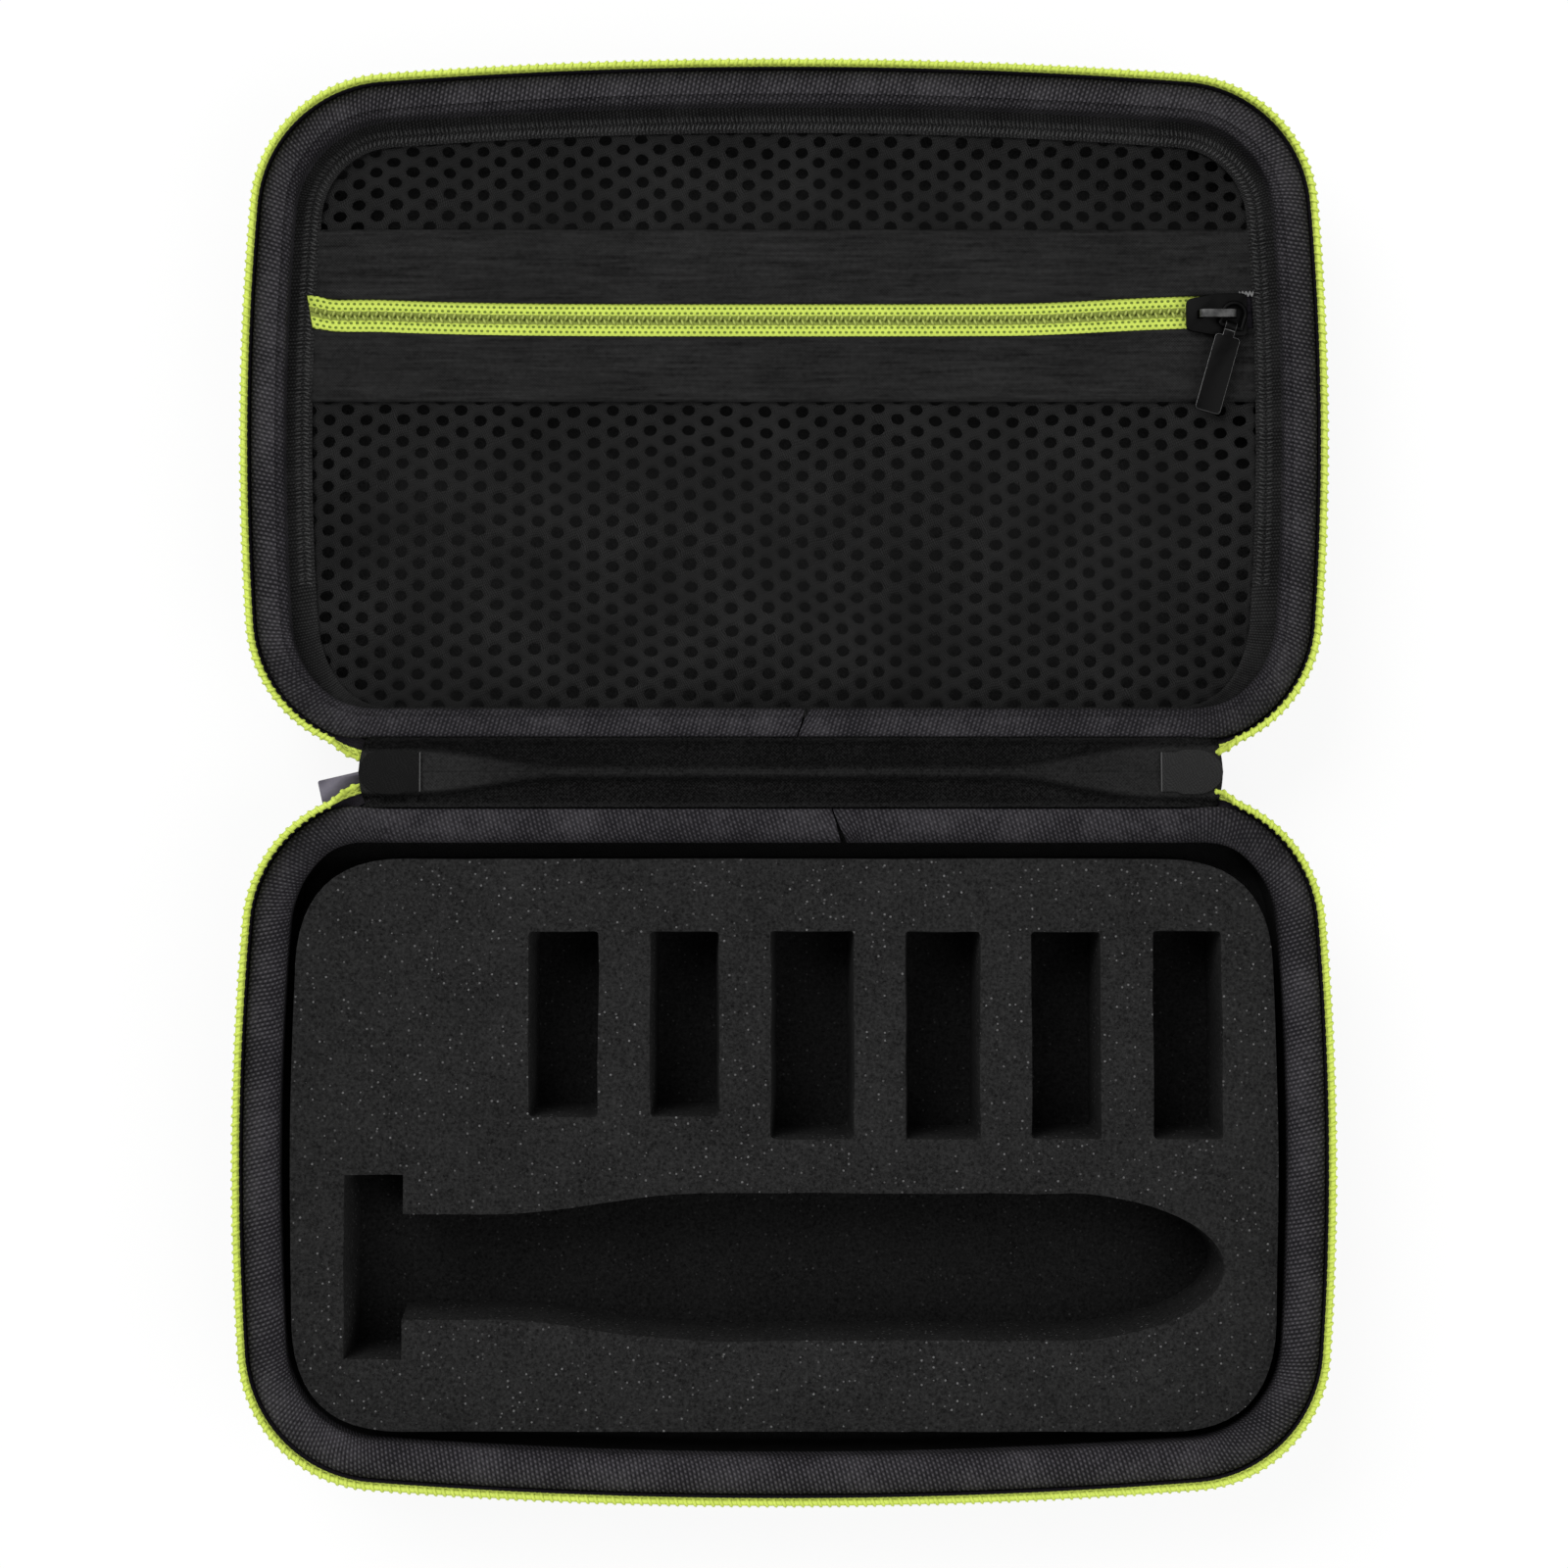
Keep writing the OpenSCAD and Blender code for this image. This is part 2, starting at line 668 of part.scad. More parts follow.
// Tape and teeth on either side of the pocket zip
module pocket_zip_tape(side) {
    inner = chain_gap / 2 + chain_w / 2;
    outer = band_off + lap;
    color(lime)
        lid_side()
        translate([0, 0, net_z])
        linear_extrude(net_t)
        panel(border_in - lap, side > 0 ? inner : -outer, side > 0 ? outer : -inner);
}
module pocket_zip_tape_upper() pocket_zip_tape(1);
module pocket_zip_tape_lower() pocket_zip_tape(-1);

module pocket_zip_teeth(side) {
    count = floor(2 * chain_x / tooth_pitch);
    tip = chain_gap / 2;
    root = tip + chain_w / 2;
    teeth = [for (i = [0:count - 1]) let (x = (i - count / 2 + (side > 0 ? 0 : 0.5)) * tooth_pitch)
        each [[x, root], [x, tip], [x + tooth_pitch / 2, tip], [x + tooth_pitch / 2, root]]];
    back = [[teeth[len(teeth) - 1][0], tip + chain_w], [teeth[0][0], tip + chain_w]];
    color(olive)
        lid_side()
        translate([0, chain_y, pocket_z])
        linear_extrude(chain_h)
        scale([1, -side])
        polygon(concat(teeth, back));
}
module pocket_zip_teeth_upper() pocket_zip_teeth(1);
module pocket_zip_teeth_lower() pocket_zip_teeth(-1);

// Pocket slider at the right end of its zip, seen from inside the open lid
slider_above = net_t / 2 + chain_h + run_clear;
slider_below = net_t / 2 + run_clear;
slider_x = corner_x + corner_r - border_in - slider_room - slider_l / 2;
slider_z = net_z + net_t / 2;
module at_pocket_slider() {
    translate([slider_x, -chain_y, slider_z]) children();
}
module pocket_slider() {
    color(pull_black)
        at_pocket_slider()
        zip_slider(slider_above, slider_below, chain_gap / 2 + chain_w + run_clear, net_t / 2 + run_clear);
}

// Pull ring: a wire loop lying round one leg of the bail, with a straight bar for the tab
leg_x = bail_l / 2 - bail_leg / 2;
bore_d = wire_d + 2 * loop_clear;
loop_d = bore_d + 2 * loop_wall;
ring_z = slider_above + plate_t + loop_d / 2 + loop_clear;
ring_mid = (ring_w + wire_d) / 2;
module at_pull_ring() {
    at_pocket_slider()
        translate([leg_x, 0, ring_z])
        rotate([0, 0, -90 - pull_lean])
        children();
}
module pocket_pull_ring() {
    color(pull_black)
        at_pull_ring() {
            rotate([0, 0, 90])
                rotate_extrude(angle = 180, $fn = corner_fn)
                translate([ring_mid, 0])
                circle(d = wire_d, $fn = corner_fn);
            for (side = [-1, 1]) {
                translate([0, side * ring_mid, 0])
                    rotate([0, 90, 0])
                    cylinder(d = wire_d, h = ring_l, $fn = corner_fn);
                translate([ring_l, side * ring_mid, 0]) sphere(d = wire_d, $fn = corner_fn);
            }
            translate([ring_l, 0, 0])
                rotate([90, 0, 0])
                cylinder(d = wire_d, h = 2 * ring_mid, center = true, $fn = corner_fn);
        }
}

// Pull tab: a flat strap with a loop round the ring's bar
module pocket_pull_tab() {
    start = loop_d / 2 + loop_clear;
    color(pull_black)
        at_pull_ring()
        translate([ring_l, 0, 0])
        difference() {
            union() {
                rotate([90, 0, 0]) cylinder(d = loop_d, h = loop_w, center = true, $fn = corner_fn);
                translate([0, 0, -pull_t / 2])
                    linear_extrude(pull_t) {
                        translate([0, -loop_w / 2]) square([start + cut_r, loop_w]);
                        polygon(rounded([
                            [start + wire_d, -pull_w / 2], [pull_l, -pull_w / 2],
                            [pull_l, pull_w / 2], [start + wire_d, pull_w / 2]
                        ], cut_r / 2));
                    }
            }
            rotate([90, 0, 0]) cylinder(d = bore_d, h = pull_w, center = true, $fn = corner_fn);
        }
}

base_shell();
base_lining();
base_binding();
base_zip_tape();
base_zip_teeth();
base_spine_hem();
foam_pad();
foam_insert();
spine_strip();
zip_end_tab_left();
zip_end_tab_right();
rim_slider();
rim_puller();
lid_shell();
lid_lining();
lid_binding();
lid_zip_tape();
lid_zip_teeth();
lid_spine_hem();
pocket_border();
pocket_net_upper();
pocket_net_lower();
pocket_band_upper();
pocket_band_lower();
pocket_zip_tape_upper();
pocket_zip_tape_lower();
pocket_zip_teeth_upper();
pocket_zip_teeth_lower();
pocket_slider();
pocket_pull_ring();
pocket_pull_tab();
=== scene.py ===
"""Looks of an open zip-up trimmer case: woven rims, coil zips, cut foam, a net pocket and a cloth spine."""

import math

import bmesh
import bpy
from bmesh.types import BMEdge, BMFace, BMVert
from mathutils import Matrix, Vector, noise


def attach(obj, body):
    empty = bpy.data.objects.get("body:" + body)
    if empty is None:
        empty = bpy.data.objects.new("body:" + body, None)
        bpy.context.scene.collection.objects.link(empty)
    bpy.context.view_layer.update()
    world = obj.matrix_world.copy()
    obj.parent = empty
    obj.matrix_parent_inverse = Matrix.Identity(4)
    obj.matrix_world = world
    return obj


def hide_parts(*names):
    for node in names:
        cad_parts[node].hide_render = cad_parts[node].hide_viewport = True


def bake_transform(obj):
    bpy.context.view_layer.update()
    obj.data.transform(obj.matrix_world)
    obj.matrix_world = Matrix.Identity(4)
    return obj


noise.seed_set(11)
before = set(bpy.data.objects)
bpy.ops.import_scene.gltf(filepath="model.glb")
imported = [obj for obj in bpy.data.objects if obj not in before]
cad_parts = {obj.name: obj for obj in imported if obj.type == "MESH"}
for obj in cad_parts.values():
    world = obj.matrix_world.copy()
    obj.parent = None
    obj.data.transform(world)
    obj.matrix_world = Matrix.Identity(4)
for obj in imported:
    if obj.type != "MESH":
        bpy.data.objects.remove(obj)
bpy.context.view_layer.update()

# Sizes of the case in millimetres, named as in the part's source
MM = 0.001
CASE_W, HALF_D, SHELL_H, RIM_GAP, CORNER_R, BOW_SLOPE = 211.346, 131.126, 28.0, 11.0, 25.0, 0.07584
WALL, LINING_T, DRAFT, FOOT_R, BACK_R, RIM_T, RIM_H = 3.2, 0.8, 5.0, 7.0, 4.0, 1.2, 6.5
BINDING_W, BINDING_CROWN = 5.6, 1.9
TAPE_T, ZIP_FLARE, COIL_T, COIL_H, COIL_PITCH = 0.5, 2.4, 1.8, 2.5, 1.7
SPINE_L, STRIP_T, TAB_L, TAB_W, TAB_T, FIT_GAP = 167.0, 1.2, 12.0, 9.5, 1.4, 0.15
FOAM_DROP, PAD_T, FOAM_SIDE, FOAM_REAR, FOAM_FRONT = 2.0, 3.5, 0.4, 6.1, 2.3
FOAM_CORNER_R, FOAM_MARGIN, SLOT_MARGIN, SLOT_GAP = 20.5, 9.4, 14.0, 10.0
SLOT_W = [13.4, 13.4, 16.0, 14.4, 13.4, 13.4]
SLOT_L = [35.6, 35.6, 39.8, 39.8, 39.8, 39.8]
POCKET_FRONT, HEAD_W, HEAD_L, NECK_W, NECK_L = 31.2, 11.3, 35.0, 20.0, 16.0
BODY_W, SHOULDER_L, TAIL_L, CUT_R = 28.0, 43.0, 32.0, 1.6
BORDER_T, BORDER_W, NET_T, LAP = 0.6, 6.2, 0.6, 2.5
POCKET_ZIP_D, BAND_W, BAND_OFF = 84.3, 13.8, 3.3

SHELF_Z = SHELL_H - RIM_H
FLOOR_Z = WALL + LINING_T
FOLD_Z = SHELL_H + FIT_GAP + STRIP_T / 2
FOLD_Y = RIM_GAP / 2 + RIM_T - FIT_GAP - STRIP_T / 2
TAPE_TOP_Z = FOLD_Z + FOLD_Y - FIT_GAP - COIL_H

BOW_A = math.degrees(math.asin(BOW_SLOPE))
BOW_RISE = math.tan(math.radians(BOW_A) / 2)
CORNER_D = HALF_D - 2 * CORNER_R
CORNER_X = (CASE_W / 2 - ZIP_FLARE - CORNER_R - BOW_RISE * CORNER_D / 2) / (1 - BOW_RISE**2 / 2)
SIDE_C = (CORNER_D - BOW_RISE * CORNER_X) / 2
SIDE_RHO, FRONT_RHO = SIDE_C / BOW_SLOPE, CORNER_X / BOW_SLOPE
REAR_Y = -(RIM_GAP / 2 + CORNER_R)
FRONT_Y = REAR_Y - 2 * SIDE_C
SIDE_MID_X = SIDE_RHO - CORNER_X - BOW_RISE * SIDE_C
FRONT_MID_Y = FRONT_RHO - BOW_RISE * CORNER_X + FRONT_Y
ZIP_END_A = 8.0
BEND_Z = SHELL_H + FIT_GAP

# The spine cloth lies a little to the right. Its ridge widens to a flat end, from and to these distances
SPINE_SHIFT, CLOTH_T = 1.3, 0.4
FLAT_FROM, FLAT_TO, FLAT_LEFT, FLAT_RIGHT = 42.0, 72.0, 3.0, 3.9


def rim_arcs(cut):
    """The seven arcs round a base rim, as middle, radius, first angle and turn; cut shortens the two by the spine."""
    side, front = SIDE_RHO + CORNER_R, FRONT_RHO + CORNER_R
    mid_y = (REAR_Y + FRONT_Y) / 2
    return [
        (-CORNER_X, REAR_Y, CORNER_R, 90 + cut, 90 - BOW_A - cut),
        (SIDE_MID_X, mid_y, side, 180 - BOW_A, 2 * BOW_A),
        (-CORNER_X, FRONT_Y, CORNER_R, 180 + BOW_A, 90 - 2 * BOW_A),
        (0.0, FRONT_MID_Y, front, 270 - BOW_A, 2 * BOW_A),
        (CORNER_X, FRONT_Y, CORNER_R, 270 + BOW_A, 90 - 2 * BOW_A),
        (-SIDE_MID_X, mid_y, side, 360 - BOW_A, 2 * BOW_A),
        (CORNER_X, REAR_Y, CORNER_R, 360 + BOW_A, 90 - BOW_A - cut),
    ]


RIM, ZIP = rim_arcs(0.0), rim_arcs(ZIP_END_A)


def smooth(share):
    share = min(max(share, 0.0), 1.0)
    return share * share * (3 - 2 * share)


def dip_ends(bm):
    """Turns the leaning part of the rim zip down near its two ends, where it goes under the spine."""
    lying, shorter, easing, left_reach = math.radians(60), 0.42, 7.0, 1.5
    foot = -RIM_T - TAPE_T / 2
    for v in bm.verts:
        side = -1 if v.co.x < 0 else 1
        way = Vector((v.co.x - side * CORNER_X, v.co.y - REAR_Y, 0))
        if v.co.z < BEND_Z - 0.1 or way.y <= 0 or way.x * side <= 0:
            continue
        from_end = (math.atan2(way.x * side, way.y) - math.radians(ZIP_END_A)) * CORNER_R
        share = smooth(1 - from_end / easing)
        out, up = way.length - CORNER_R - foot, v.co.z - BEND_Z
        at_root = abs(out) < 0.4 and up < 0.6
        turn = lying * share * (0.5 if at_root else 1.0)
        kept = 1 - shorter * share
        new_out = (out * math.cos(turn) + up * math.sin(turn)) * kept
        v.co.z = BEND_Z + (up * math.cos(turn) - out * math.sin(turn)) * kept
        v.co += way.normalized() * (new_out - out)
        if side < 0:
            v.co.y += left_reach * share * share


ARC_LENGTHS = [r * math.radians(turn) for _, _, r, _, turn in RIM]
RIM_LENGTH = sum(ARC_LENGTHS) + 2 * CORNER_X


def along_rim(x, y):
    """Distances along the rim, from the left corner by the spine, and out from it, at a point."""
    if abs(x) <= CORNER_X and y > REAR_Y:
        return sum(ARC_LENGTHS) + CORNER_X - x, y + RIM_GAP / 2
    near = []
    done = 0.0
    for (mx, my, r, start, turn), length in zip(RIM, ARC_LENGTHS):
        a = (math.degrees(math.atan2(y - my, x - mx)) - start - turn / 2 + 180) % 360 - 180 + turn / 2
        share = min(max(a / turn, 0.0), 1.0)
        end = math.radians(start + share * turn)
        miss = math.dist((x, y), (mx + r * math.cos(end), my + r * math.sin(end)))
        out = math.hypot(x - mx, y - my) - r if 0 < share < 1 else -miss
        near.append((miss, done + share * length, out))
        done += length
    _, run, out = min(near)
    return run, out


def rim_places(arcs, out, pitch):
    """Evenly spaced places along arcs, each as a point, the way along and the way out."""
    places = []
    for mx, my, r, start, turn in arcs:
        count = max(1, round((r + out) * math.radians(turn) / pitch))
        for i in range(count):
            a = math.radians(start + turn * (i + 0.5) / count)
            way = Vector((math.cos(a), math.sin(a), 0))
            places.append((Vector((mx, my, 0)) + way * (r + out), Vector((-way.y, way.x, 0)), way))
    return places


# ---- making pieces


def grid(along, across):
    """A flat grid, one wide and one long, about its middle."""
    bm = bmesh.new()
    bmesh.ops.create_grid(bm, x_segments=along, y_segments=across, size=0.5)
    return bm


def only(kind, geom):
    """The vertices, edges or faces among what a tool gives back."""
    return [g for g in geom if isinstance(g, kind)]


SWEEP_PACE, END_PACE, END_GAP, END_EASE = 5.0, 0.8, 0.3, 6.0


def swept(section, arcs, closed=False, joint=None, turn_step=5.0):
    """Spins a section, rows of (out, height), round the arcs of a rim, and along the spine if it is closed or jointed.

    A jointed one starts at x = joint and ends END_GAP millimetres short of that place.
    """
    bm = bmesh.new()
    mx, my, r, start, _ = arcs[0]
    a = math.radians(start)
    if joint is None:
        row = [bm.verts.new((mx + (r + o) * math.cos(a), my + (r + o) * math.sin(a), z)) for o, z in section]
    else:
        row = [bm.verts.new((joint, -RIM_GAP / 2 + o, z)) for o, z in section]
    edges = [bm.edges.new(pair) for pair in zip(row, row[1:])]

    def straight(edges, reach, pace=SWEEP_PACE):
        steps = max(1, round(abs(reach) / pace))
        for _ in range(steps):
            grown = bmesh.ops.extrude_edge_only(bm, edges=edges)["geom"]
            moved = only(BMVert, grown)
            bmesh.ops.translate(bm, vec=(reach / steps, 0, 0), verts=moved)
            edges = [e for e in only(BMEdge, grown) if e.is_boundary and set(e.verts) <= set(moved)]
        return edges

    if joint is not None:
        edges = straight(straight(edges, -END_EASE, END_PACE), END_EASE - CORNER_X - joint)
    for mx, my, r, _, turn in arcs:
        steps = max(3, math.ceil(max(math.radians(turn) * r / SWEEP_PACE, abs(turn) / turn_step)))
        geom = edges + list({v for e in edges for v in e.verts})
        last = bmesh.ops.spin(
            bm, geom=geom, cent=(mx, my, 0), axis=(0, 0, 1), angle=math.radians(turn), steps=steps
        )["geom_last"]
        edges = only(BMEdge, last)
    if joint is not None:
        edges = straight(edges, joint + END_EASE - CORNER_X)
        straight(edges, END_GAP - END_EASE, END_PACE)
    elif closed:
        straight(edges, -2 * CORNER_X)
    bmesh.ops.remove_doubles(bm, verts=bm.verts, dist=0.02)
    return bm


def close_ends(bm):
    bmesh.ops.holes_fill(bm, edges=[e for e in bm.edges if e.is_boundary], sides=0)


def outline(bm, points, z):
    """A closed line of edges at one height."""
    row = [bm.verts.new((x, y, z)) for x, y in points]
    return [bm.edges.new((row[i - 1], row[i])) for i in range(len(row))]


def raised(lines, low, height):
    """A block of some height on closed lines at one level; a line inside another is a hole through it."""
    bm = bmesh.new()
    edges = [e for line in lines for e in outline(bm, line, low)]
    filled = bmesh.ops.triangle_fill(bm, use_beauty=True, edges=edges)["geom"]
    grown = bmesh.ops.extrude_face_region(bm, geom=only(BMFace, filled), use_keep_orig=True)["geom"]
    bmesh.ops.translate(bm, vec=(0, 0, height), verts=only(BMVert, grown))
    face_out(bm)
    return bm


def soften(bm, width, segments=2, least=0.6):
    """Rounds every edge that turns by more than least, in radians, and returns the faces that round it."""
    sharp = [e for e in bm.edges if len(e.link_faces) == 2 and e.calc_face_angle(0) > least]
    return bmesh.ops.bevel(
        bm, geom=sharp, offset=width, affect="EDGES", segments=segments, profile=0.5,
        material=-1, clamp_overlap=True,
    )["faces"]


def lay_weave(bm, section):
    """Writes how far along the rim and across the section each corner lies, in millimetres, as the weave map."""
    across = [0.0]
    for p, q in zip(section, section[1:]):
        across.append(across[-1] + math.dist(p, q))
    layer = bm.loops.layers.uv.new("weave")
    where = {}
    for v in bm.verts:
        s, out = along_rim(v.co.x, v.co.y)
        near = min(range(len(section)), key=lambda i: math.dist(section[i], (out, v.co.z)))
        where[v] = (s, across[near])
    for f in bm.faces:
        far = max(where[v][0] for v in f.verts) > RIM_LENGTH / 2
        for loop in f.loops:
            s, t = where[loop.vert]
            loop[layer].uv = (s + RIM_LENGTH if far and s < RIM_LENGTH / 4 else s, t)


def lay_weave_by(bm, read):
    """Writes what read gives for the place of each corner, in millimetres, as the weave map."""
    layer = bm.loops.layers.uv.new("weave")
    for f in bm.faces:
        for loop in f.loops:
            loop[layer].uv = read(loop.vert.co)


def over_the_spine(bm):
    """Turns a base piece over the spine, to the lid."""
    bmesh.ops.scale(bm, vec=(1, -1, 1), verts=bm.verts)
    bmesh.ops.reverse_faces(bm, faces=bm.faces)


def face_out(bm, half=None):
    """Turns all faces outward, and a piece of the lid, drawn on the base, over the spine."""
    bmesh.ops.recalc_face_normals(bm, faces=bm.faces)
    if half == "lid":
        over_the_spine(bm)


def as_mesh(bm, name):
    mesh = bpy.data.meshes.new(name)
    bm.to_mesh(mesh)
    bm.free()
    return mesh


def set_out(name, data):
    made = bpy.data.objects.new(name, data)
    bpy.context.scene.collection.objects.link(made)
    return made


def finished(name, bm, finish, body=None, stands_for=(), sharp=40):
    """Makes the mesh a piece in metres, with its finish, on its body."""
    bm.transform(Matrix.Scale(MM, 4))
    mesh = as_mesh(bm, name)
    mesh.shade_smooth()
    mesh.set_sharp_from_angle(angle=math.radians(sharp))
    mesh.materials.append(finish)
    made = set_out(name, mesh)
    if body:
        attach(made, body)
    if stands_for:
        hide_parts(*stands_for)
    return made


def give_thickness(piece, offset=-1.0):
    """Makes cloth as thick as it is, below its face or, with no offset, on both sides of it."""
    thick = piece.modifiers.new("cloth", "SOLIDIFY")
    thick.thickness, thick.offset = CLOTH_T * MM, offset


def join_in(bm, other):
    """Adds another mesh under construction to this one."""
    mesh = as_mesh(other, "joined")
    bm.from_mesh(mesh)
    bpy.data.meshes.remove(mesh)


def repeated(shape, places):
    """A small mesh once for each placing matrix."""
    bm = bmesh.new()
    for place in places:
        copy = shape.copy()
        copy.transform(place)
        bm.from_mesh(copy)
        bpy.data.meshes.remove(copy)
    return bm


def wire_loop(reach_out, reach_up, wire, lean):
    """One loop of a coil: a ring across the way along, x along, y out and z up."""
    bm = bmesh.new()
    ring = bmesh.ops.create_circle(bm, segments=6, radius=wire, matrix=Matrix.Translation((0, 1, 0)))["verts"]
    bmesh.ops.spin(bm, geom=ring + list(bm.edges), axis=(1, 0, 0), angle=math.tau, steps=10, use_merge=True)
    bmesh.ops.remove_doubles(bm, verts=bm.verts, dist=1e-5)
    for v in bm.verts:
        radius = math.hypot(v.co.y, v.co.z)
        off_ring = radius - 1 - wire
        v.co.y *= (reach_out + off_ring) / radius
        v.co.z *= (reach_up + off_ring) / radius
        v.co.x += lean * v.co.y
    face_out(bm)
    return as_mesh(bm, "wire_loop")


def stitch_bead(length, width, height):
    """One stitch: a bead of thread lying along x."""
    bm = bmesh.new()
    bmesh.ops.create_icosphere(bm, subdivisions=1, radius=1.0)
    bm.transform(Matrix.Diagonal((length / 2, width / 2, height / 2, 1)))
    return as_mesh(bm, "stitch_bead")


def frame_at(point, way_along, way_out):
    place = Matrix((way_along, way_out, (0, 0, 1))).transposed().to_4x4()
    place.translation = point
    return place


def stitch_place(point, across):
    return frame_at(point, across, Vector((-across.y, across.x, 0)))


# ---- finishes


class Value:
    """A value in a finish: an expression on it adds the nodes that work it out."""

    def __init__(self, finish, socket):
        self.finish, self.socket = finish, socket

    def _with(self, operation, *others):
        return self.finish.add("ShaderNodeMath", {"operation": operation}, dict(enumerate((self, *others))))

    def __add__(self, other):
        return self._with("ADD", other)

    __radd__ = __add__

    def __sub__(self, other):
        return self._with("SUBTRACT", other)

    def __rsub__(self, other):
        return self * -1.0 + other

    def __mul__(self, other):
        return self._with("MULTIPLY", other)

    __rmul__ = __mul__

    def __truediv__(self, other):
        return self._with("DIVIDE", other)

    def __gt__(self, other):
        return self._with("GREATER_THAN", other)

    def __lt__(self, other):
        return self._with("LESS_THAN", other)

    def sine(self):
        return self._with("SINE")

    def wave(self):
        """A soft wave from 0 to 1, one for each whole step of the value."""
        return (self * math.tau).sine() * 0.5 + 0.5

    def whole(self):
        return self._with("FLOOR")

    def size(self):
        return self._with("ABSOLUTE")

    def eased(self, low, high):
        """0 below low and 1 above high, with a smooth rise between."""
        inputs = {"Value": self, "From Min": low, "From Max": high}
        return self.finish.add("ShaderNodeMapRange", {"interpolation_type": "SMOOTHSTEP"}, inputs)

    def clipped(self):
        return self.finish.add("ShaderNodeClamp", {}, {"Value": self})


class Finish:
    """A material, or the sky, that is built up node by node."""

    def __init__(self, name, kind=bpy.data.materials):
        self.made = kind.new(name)
        self.made.use_nodes = True
        self.nodes, self.links = self.made.node_tree.nodes, self.made.node_tree.links
        self.nodes.clear()

    def add(self, kind, settings, inputs, output=0):
        node = self.nodes.new(kind)
        for name, value in settings.items():
            setattr(node, name, value)
        for name, value in inputs.items():
            socket = node.inputs[name]
            if isinstance(value, Value):
                self.links.new(value.socket, socket)
            else:
                socket.default_value = value
        return Value(self, node.outputs[output] if node.outputs else None)

    def place(self):
        return self.add("ShaderNodeTexCoord", {}, {}, "Object")

    def axes(self, vector=None):
        """The three parts of a vector, or of the place on the case in metres."""
        vector = vector or self.place()
        return tuple(self.add("ShaderNodeSeparateXYZ", {}, {"Vector": vector}, axis) for axis in "XYZ")

    def weave(self):
        """Distance along and across the cloth, in millimetres."""
        return self.axes(self.add("ShaderNodeUVMap", {"uv_map": "weave"}, {}))[:2]

    def grain(self, size, detail=2.0, rough=0.5, vector=None):
        """Soft noise whose blotches are about size millimetres wide, from 0 to 1."""
        inputs = {"Vector": vector or self.place(), "Scale": 1000.0 / size, "Detail": detail, "Roughness": rough}
        return self.add("ShaderNodeTexNoise", {}, inputs, "Fac")

    def cells(self, size, output="Distance"):
        """Round cells about size millimetres wide: the distance from their middles, or a colour for each."""
        return self.add("ShaderNodeTexVoronoi", {}, {"Vector": self.place(), "Scale": 1000.0 / size}, output)

    def tint(self, share, under, over):
        """A colour between two screen colours, by share; the first may be one that is worked out."""
        under = under if isinstance(under, Value) else linear(under)
        return self.add("ShaderNodeMix", {"data_type": "RGBA"}, {"Factor": share, 6: under, 7: linear(over)}, 2)

    def bumps(self, height, depth, strength=1.0):
        return self.add("ShaderNodeBump", {}, {"Height": height, "Distance": depth * MM, "Strength": strength})

    def ray(self, kind):
        """1 for a ray of this kind, and else 0."""
        return self.add("ShaderNodeLightPath", {}, {}, f"Is {kind} Ray")

    def shown(self, shader, kind="Material"):
        self.add("ShaderNodeOutput" + kind, {}, {"Surface": shader})
        return self.made

    def surface(self, colour, rough, shine, normal, metal=0.0):
        inputs = {"Base Color": colour, "Roughness": rough, "Specular IOR Level": shine, "Normal": normal}
        return self.shown(self.add("ShaderNodeBsdfPrincipled", {}, inputs | {"Metallic": metal}))


def linear(shade):
    """A linear colour from a screen grey, or from screen red, green and blue, of 0 to 255."""
    parts = [c / 255 for c in (shade if isinstance(shade, tuple) else (shade,) * 3)]
    return (*(c / 12.92 if c <= 0.04045 else ((c + 0.055) / 1.055) ** 2.4 for c in parts), 1)


def crossed_threads(u, v, pitch):
    """The over and under of a plain weave, from 0 to 1."""
    return (u / pitch * math.tau).sine() * (v / pitch * math.tau).sine() * 0.5 + 0.5


def ribbed_tape(name, dark, light, rib, dash, slant, depth):
    """Woven tape with ribs across it, each broken into short dashes of thread, and painted shade towards the spine."""
    f = Finish(name)
    u, v = f.weave()
    wander = f.grain(6.0, 1.0) * 0.5
    along = (u + v * slant + wander) / rib
    ribs = along.wave()
    dashes = (v / dash + along.whole() * 0.5 + wander).wave()
    thread = ribs * (dashes * 0.8 + 0.2)
    cloudy = f.grain(9.0)
    fuzz = f.grain(0.9, 2.0, 0.6)
    _, from_spine, _ = f.axes()
    # Painted shade: the ribs are darker within about 30 mm of the spine, on the binding and on the pocket border.
    lit = (from_spine.size() * 1000.0).eased(12.0, 30.0) * 0.3 + 0.7
    share = (thread * 0.8 * lit + (cloudy - 0.5) * 0.6 + (fuzz - 0.5) * 0.5).clipped()
    return f.surface(f.tint(share, dark, light), 0.92 - thread * 0.16, 0.12, f.bumps(thread, depth))


def plain_cloth(name, dark, light):
    """Plain woven cloth: two crossing sets of threads, slubs that run along it, and soft wear."""
    f = Finish(name)
    u, v = f.weave()
    over = crossed_threads(u, v, 0.55)
    fuzz = f.grain(0.8, 3.0, 0.65)
    cloudy = f.grain(16.0)
    drawn = f.add("ShaderNodeMapping", {}, {"Vector": f.place(), "Scale": (0.07, 1.0, 1.0)})
    slubs = f.grain(0.8, 2.0, 0.6, drawn)
    share = (over * 0.4 + fuzz - 0.2 + (slubs - 0.5) * 1.1 + (cloudy - 0.5) * 0.5).clipped()
    return f.surface(f.tint(share, dark, light), 0.95 - over * 0.12, 0.08, f.bumps(over + fuzz * 0.6, 0.06))


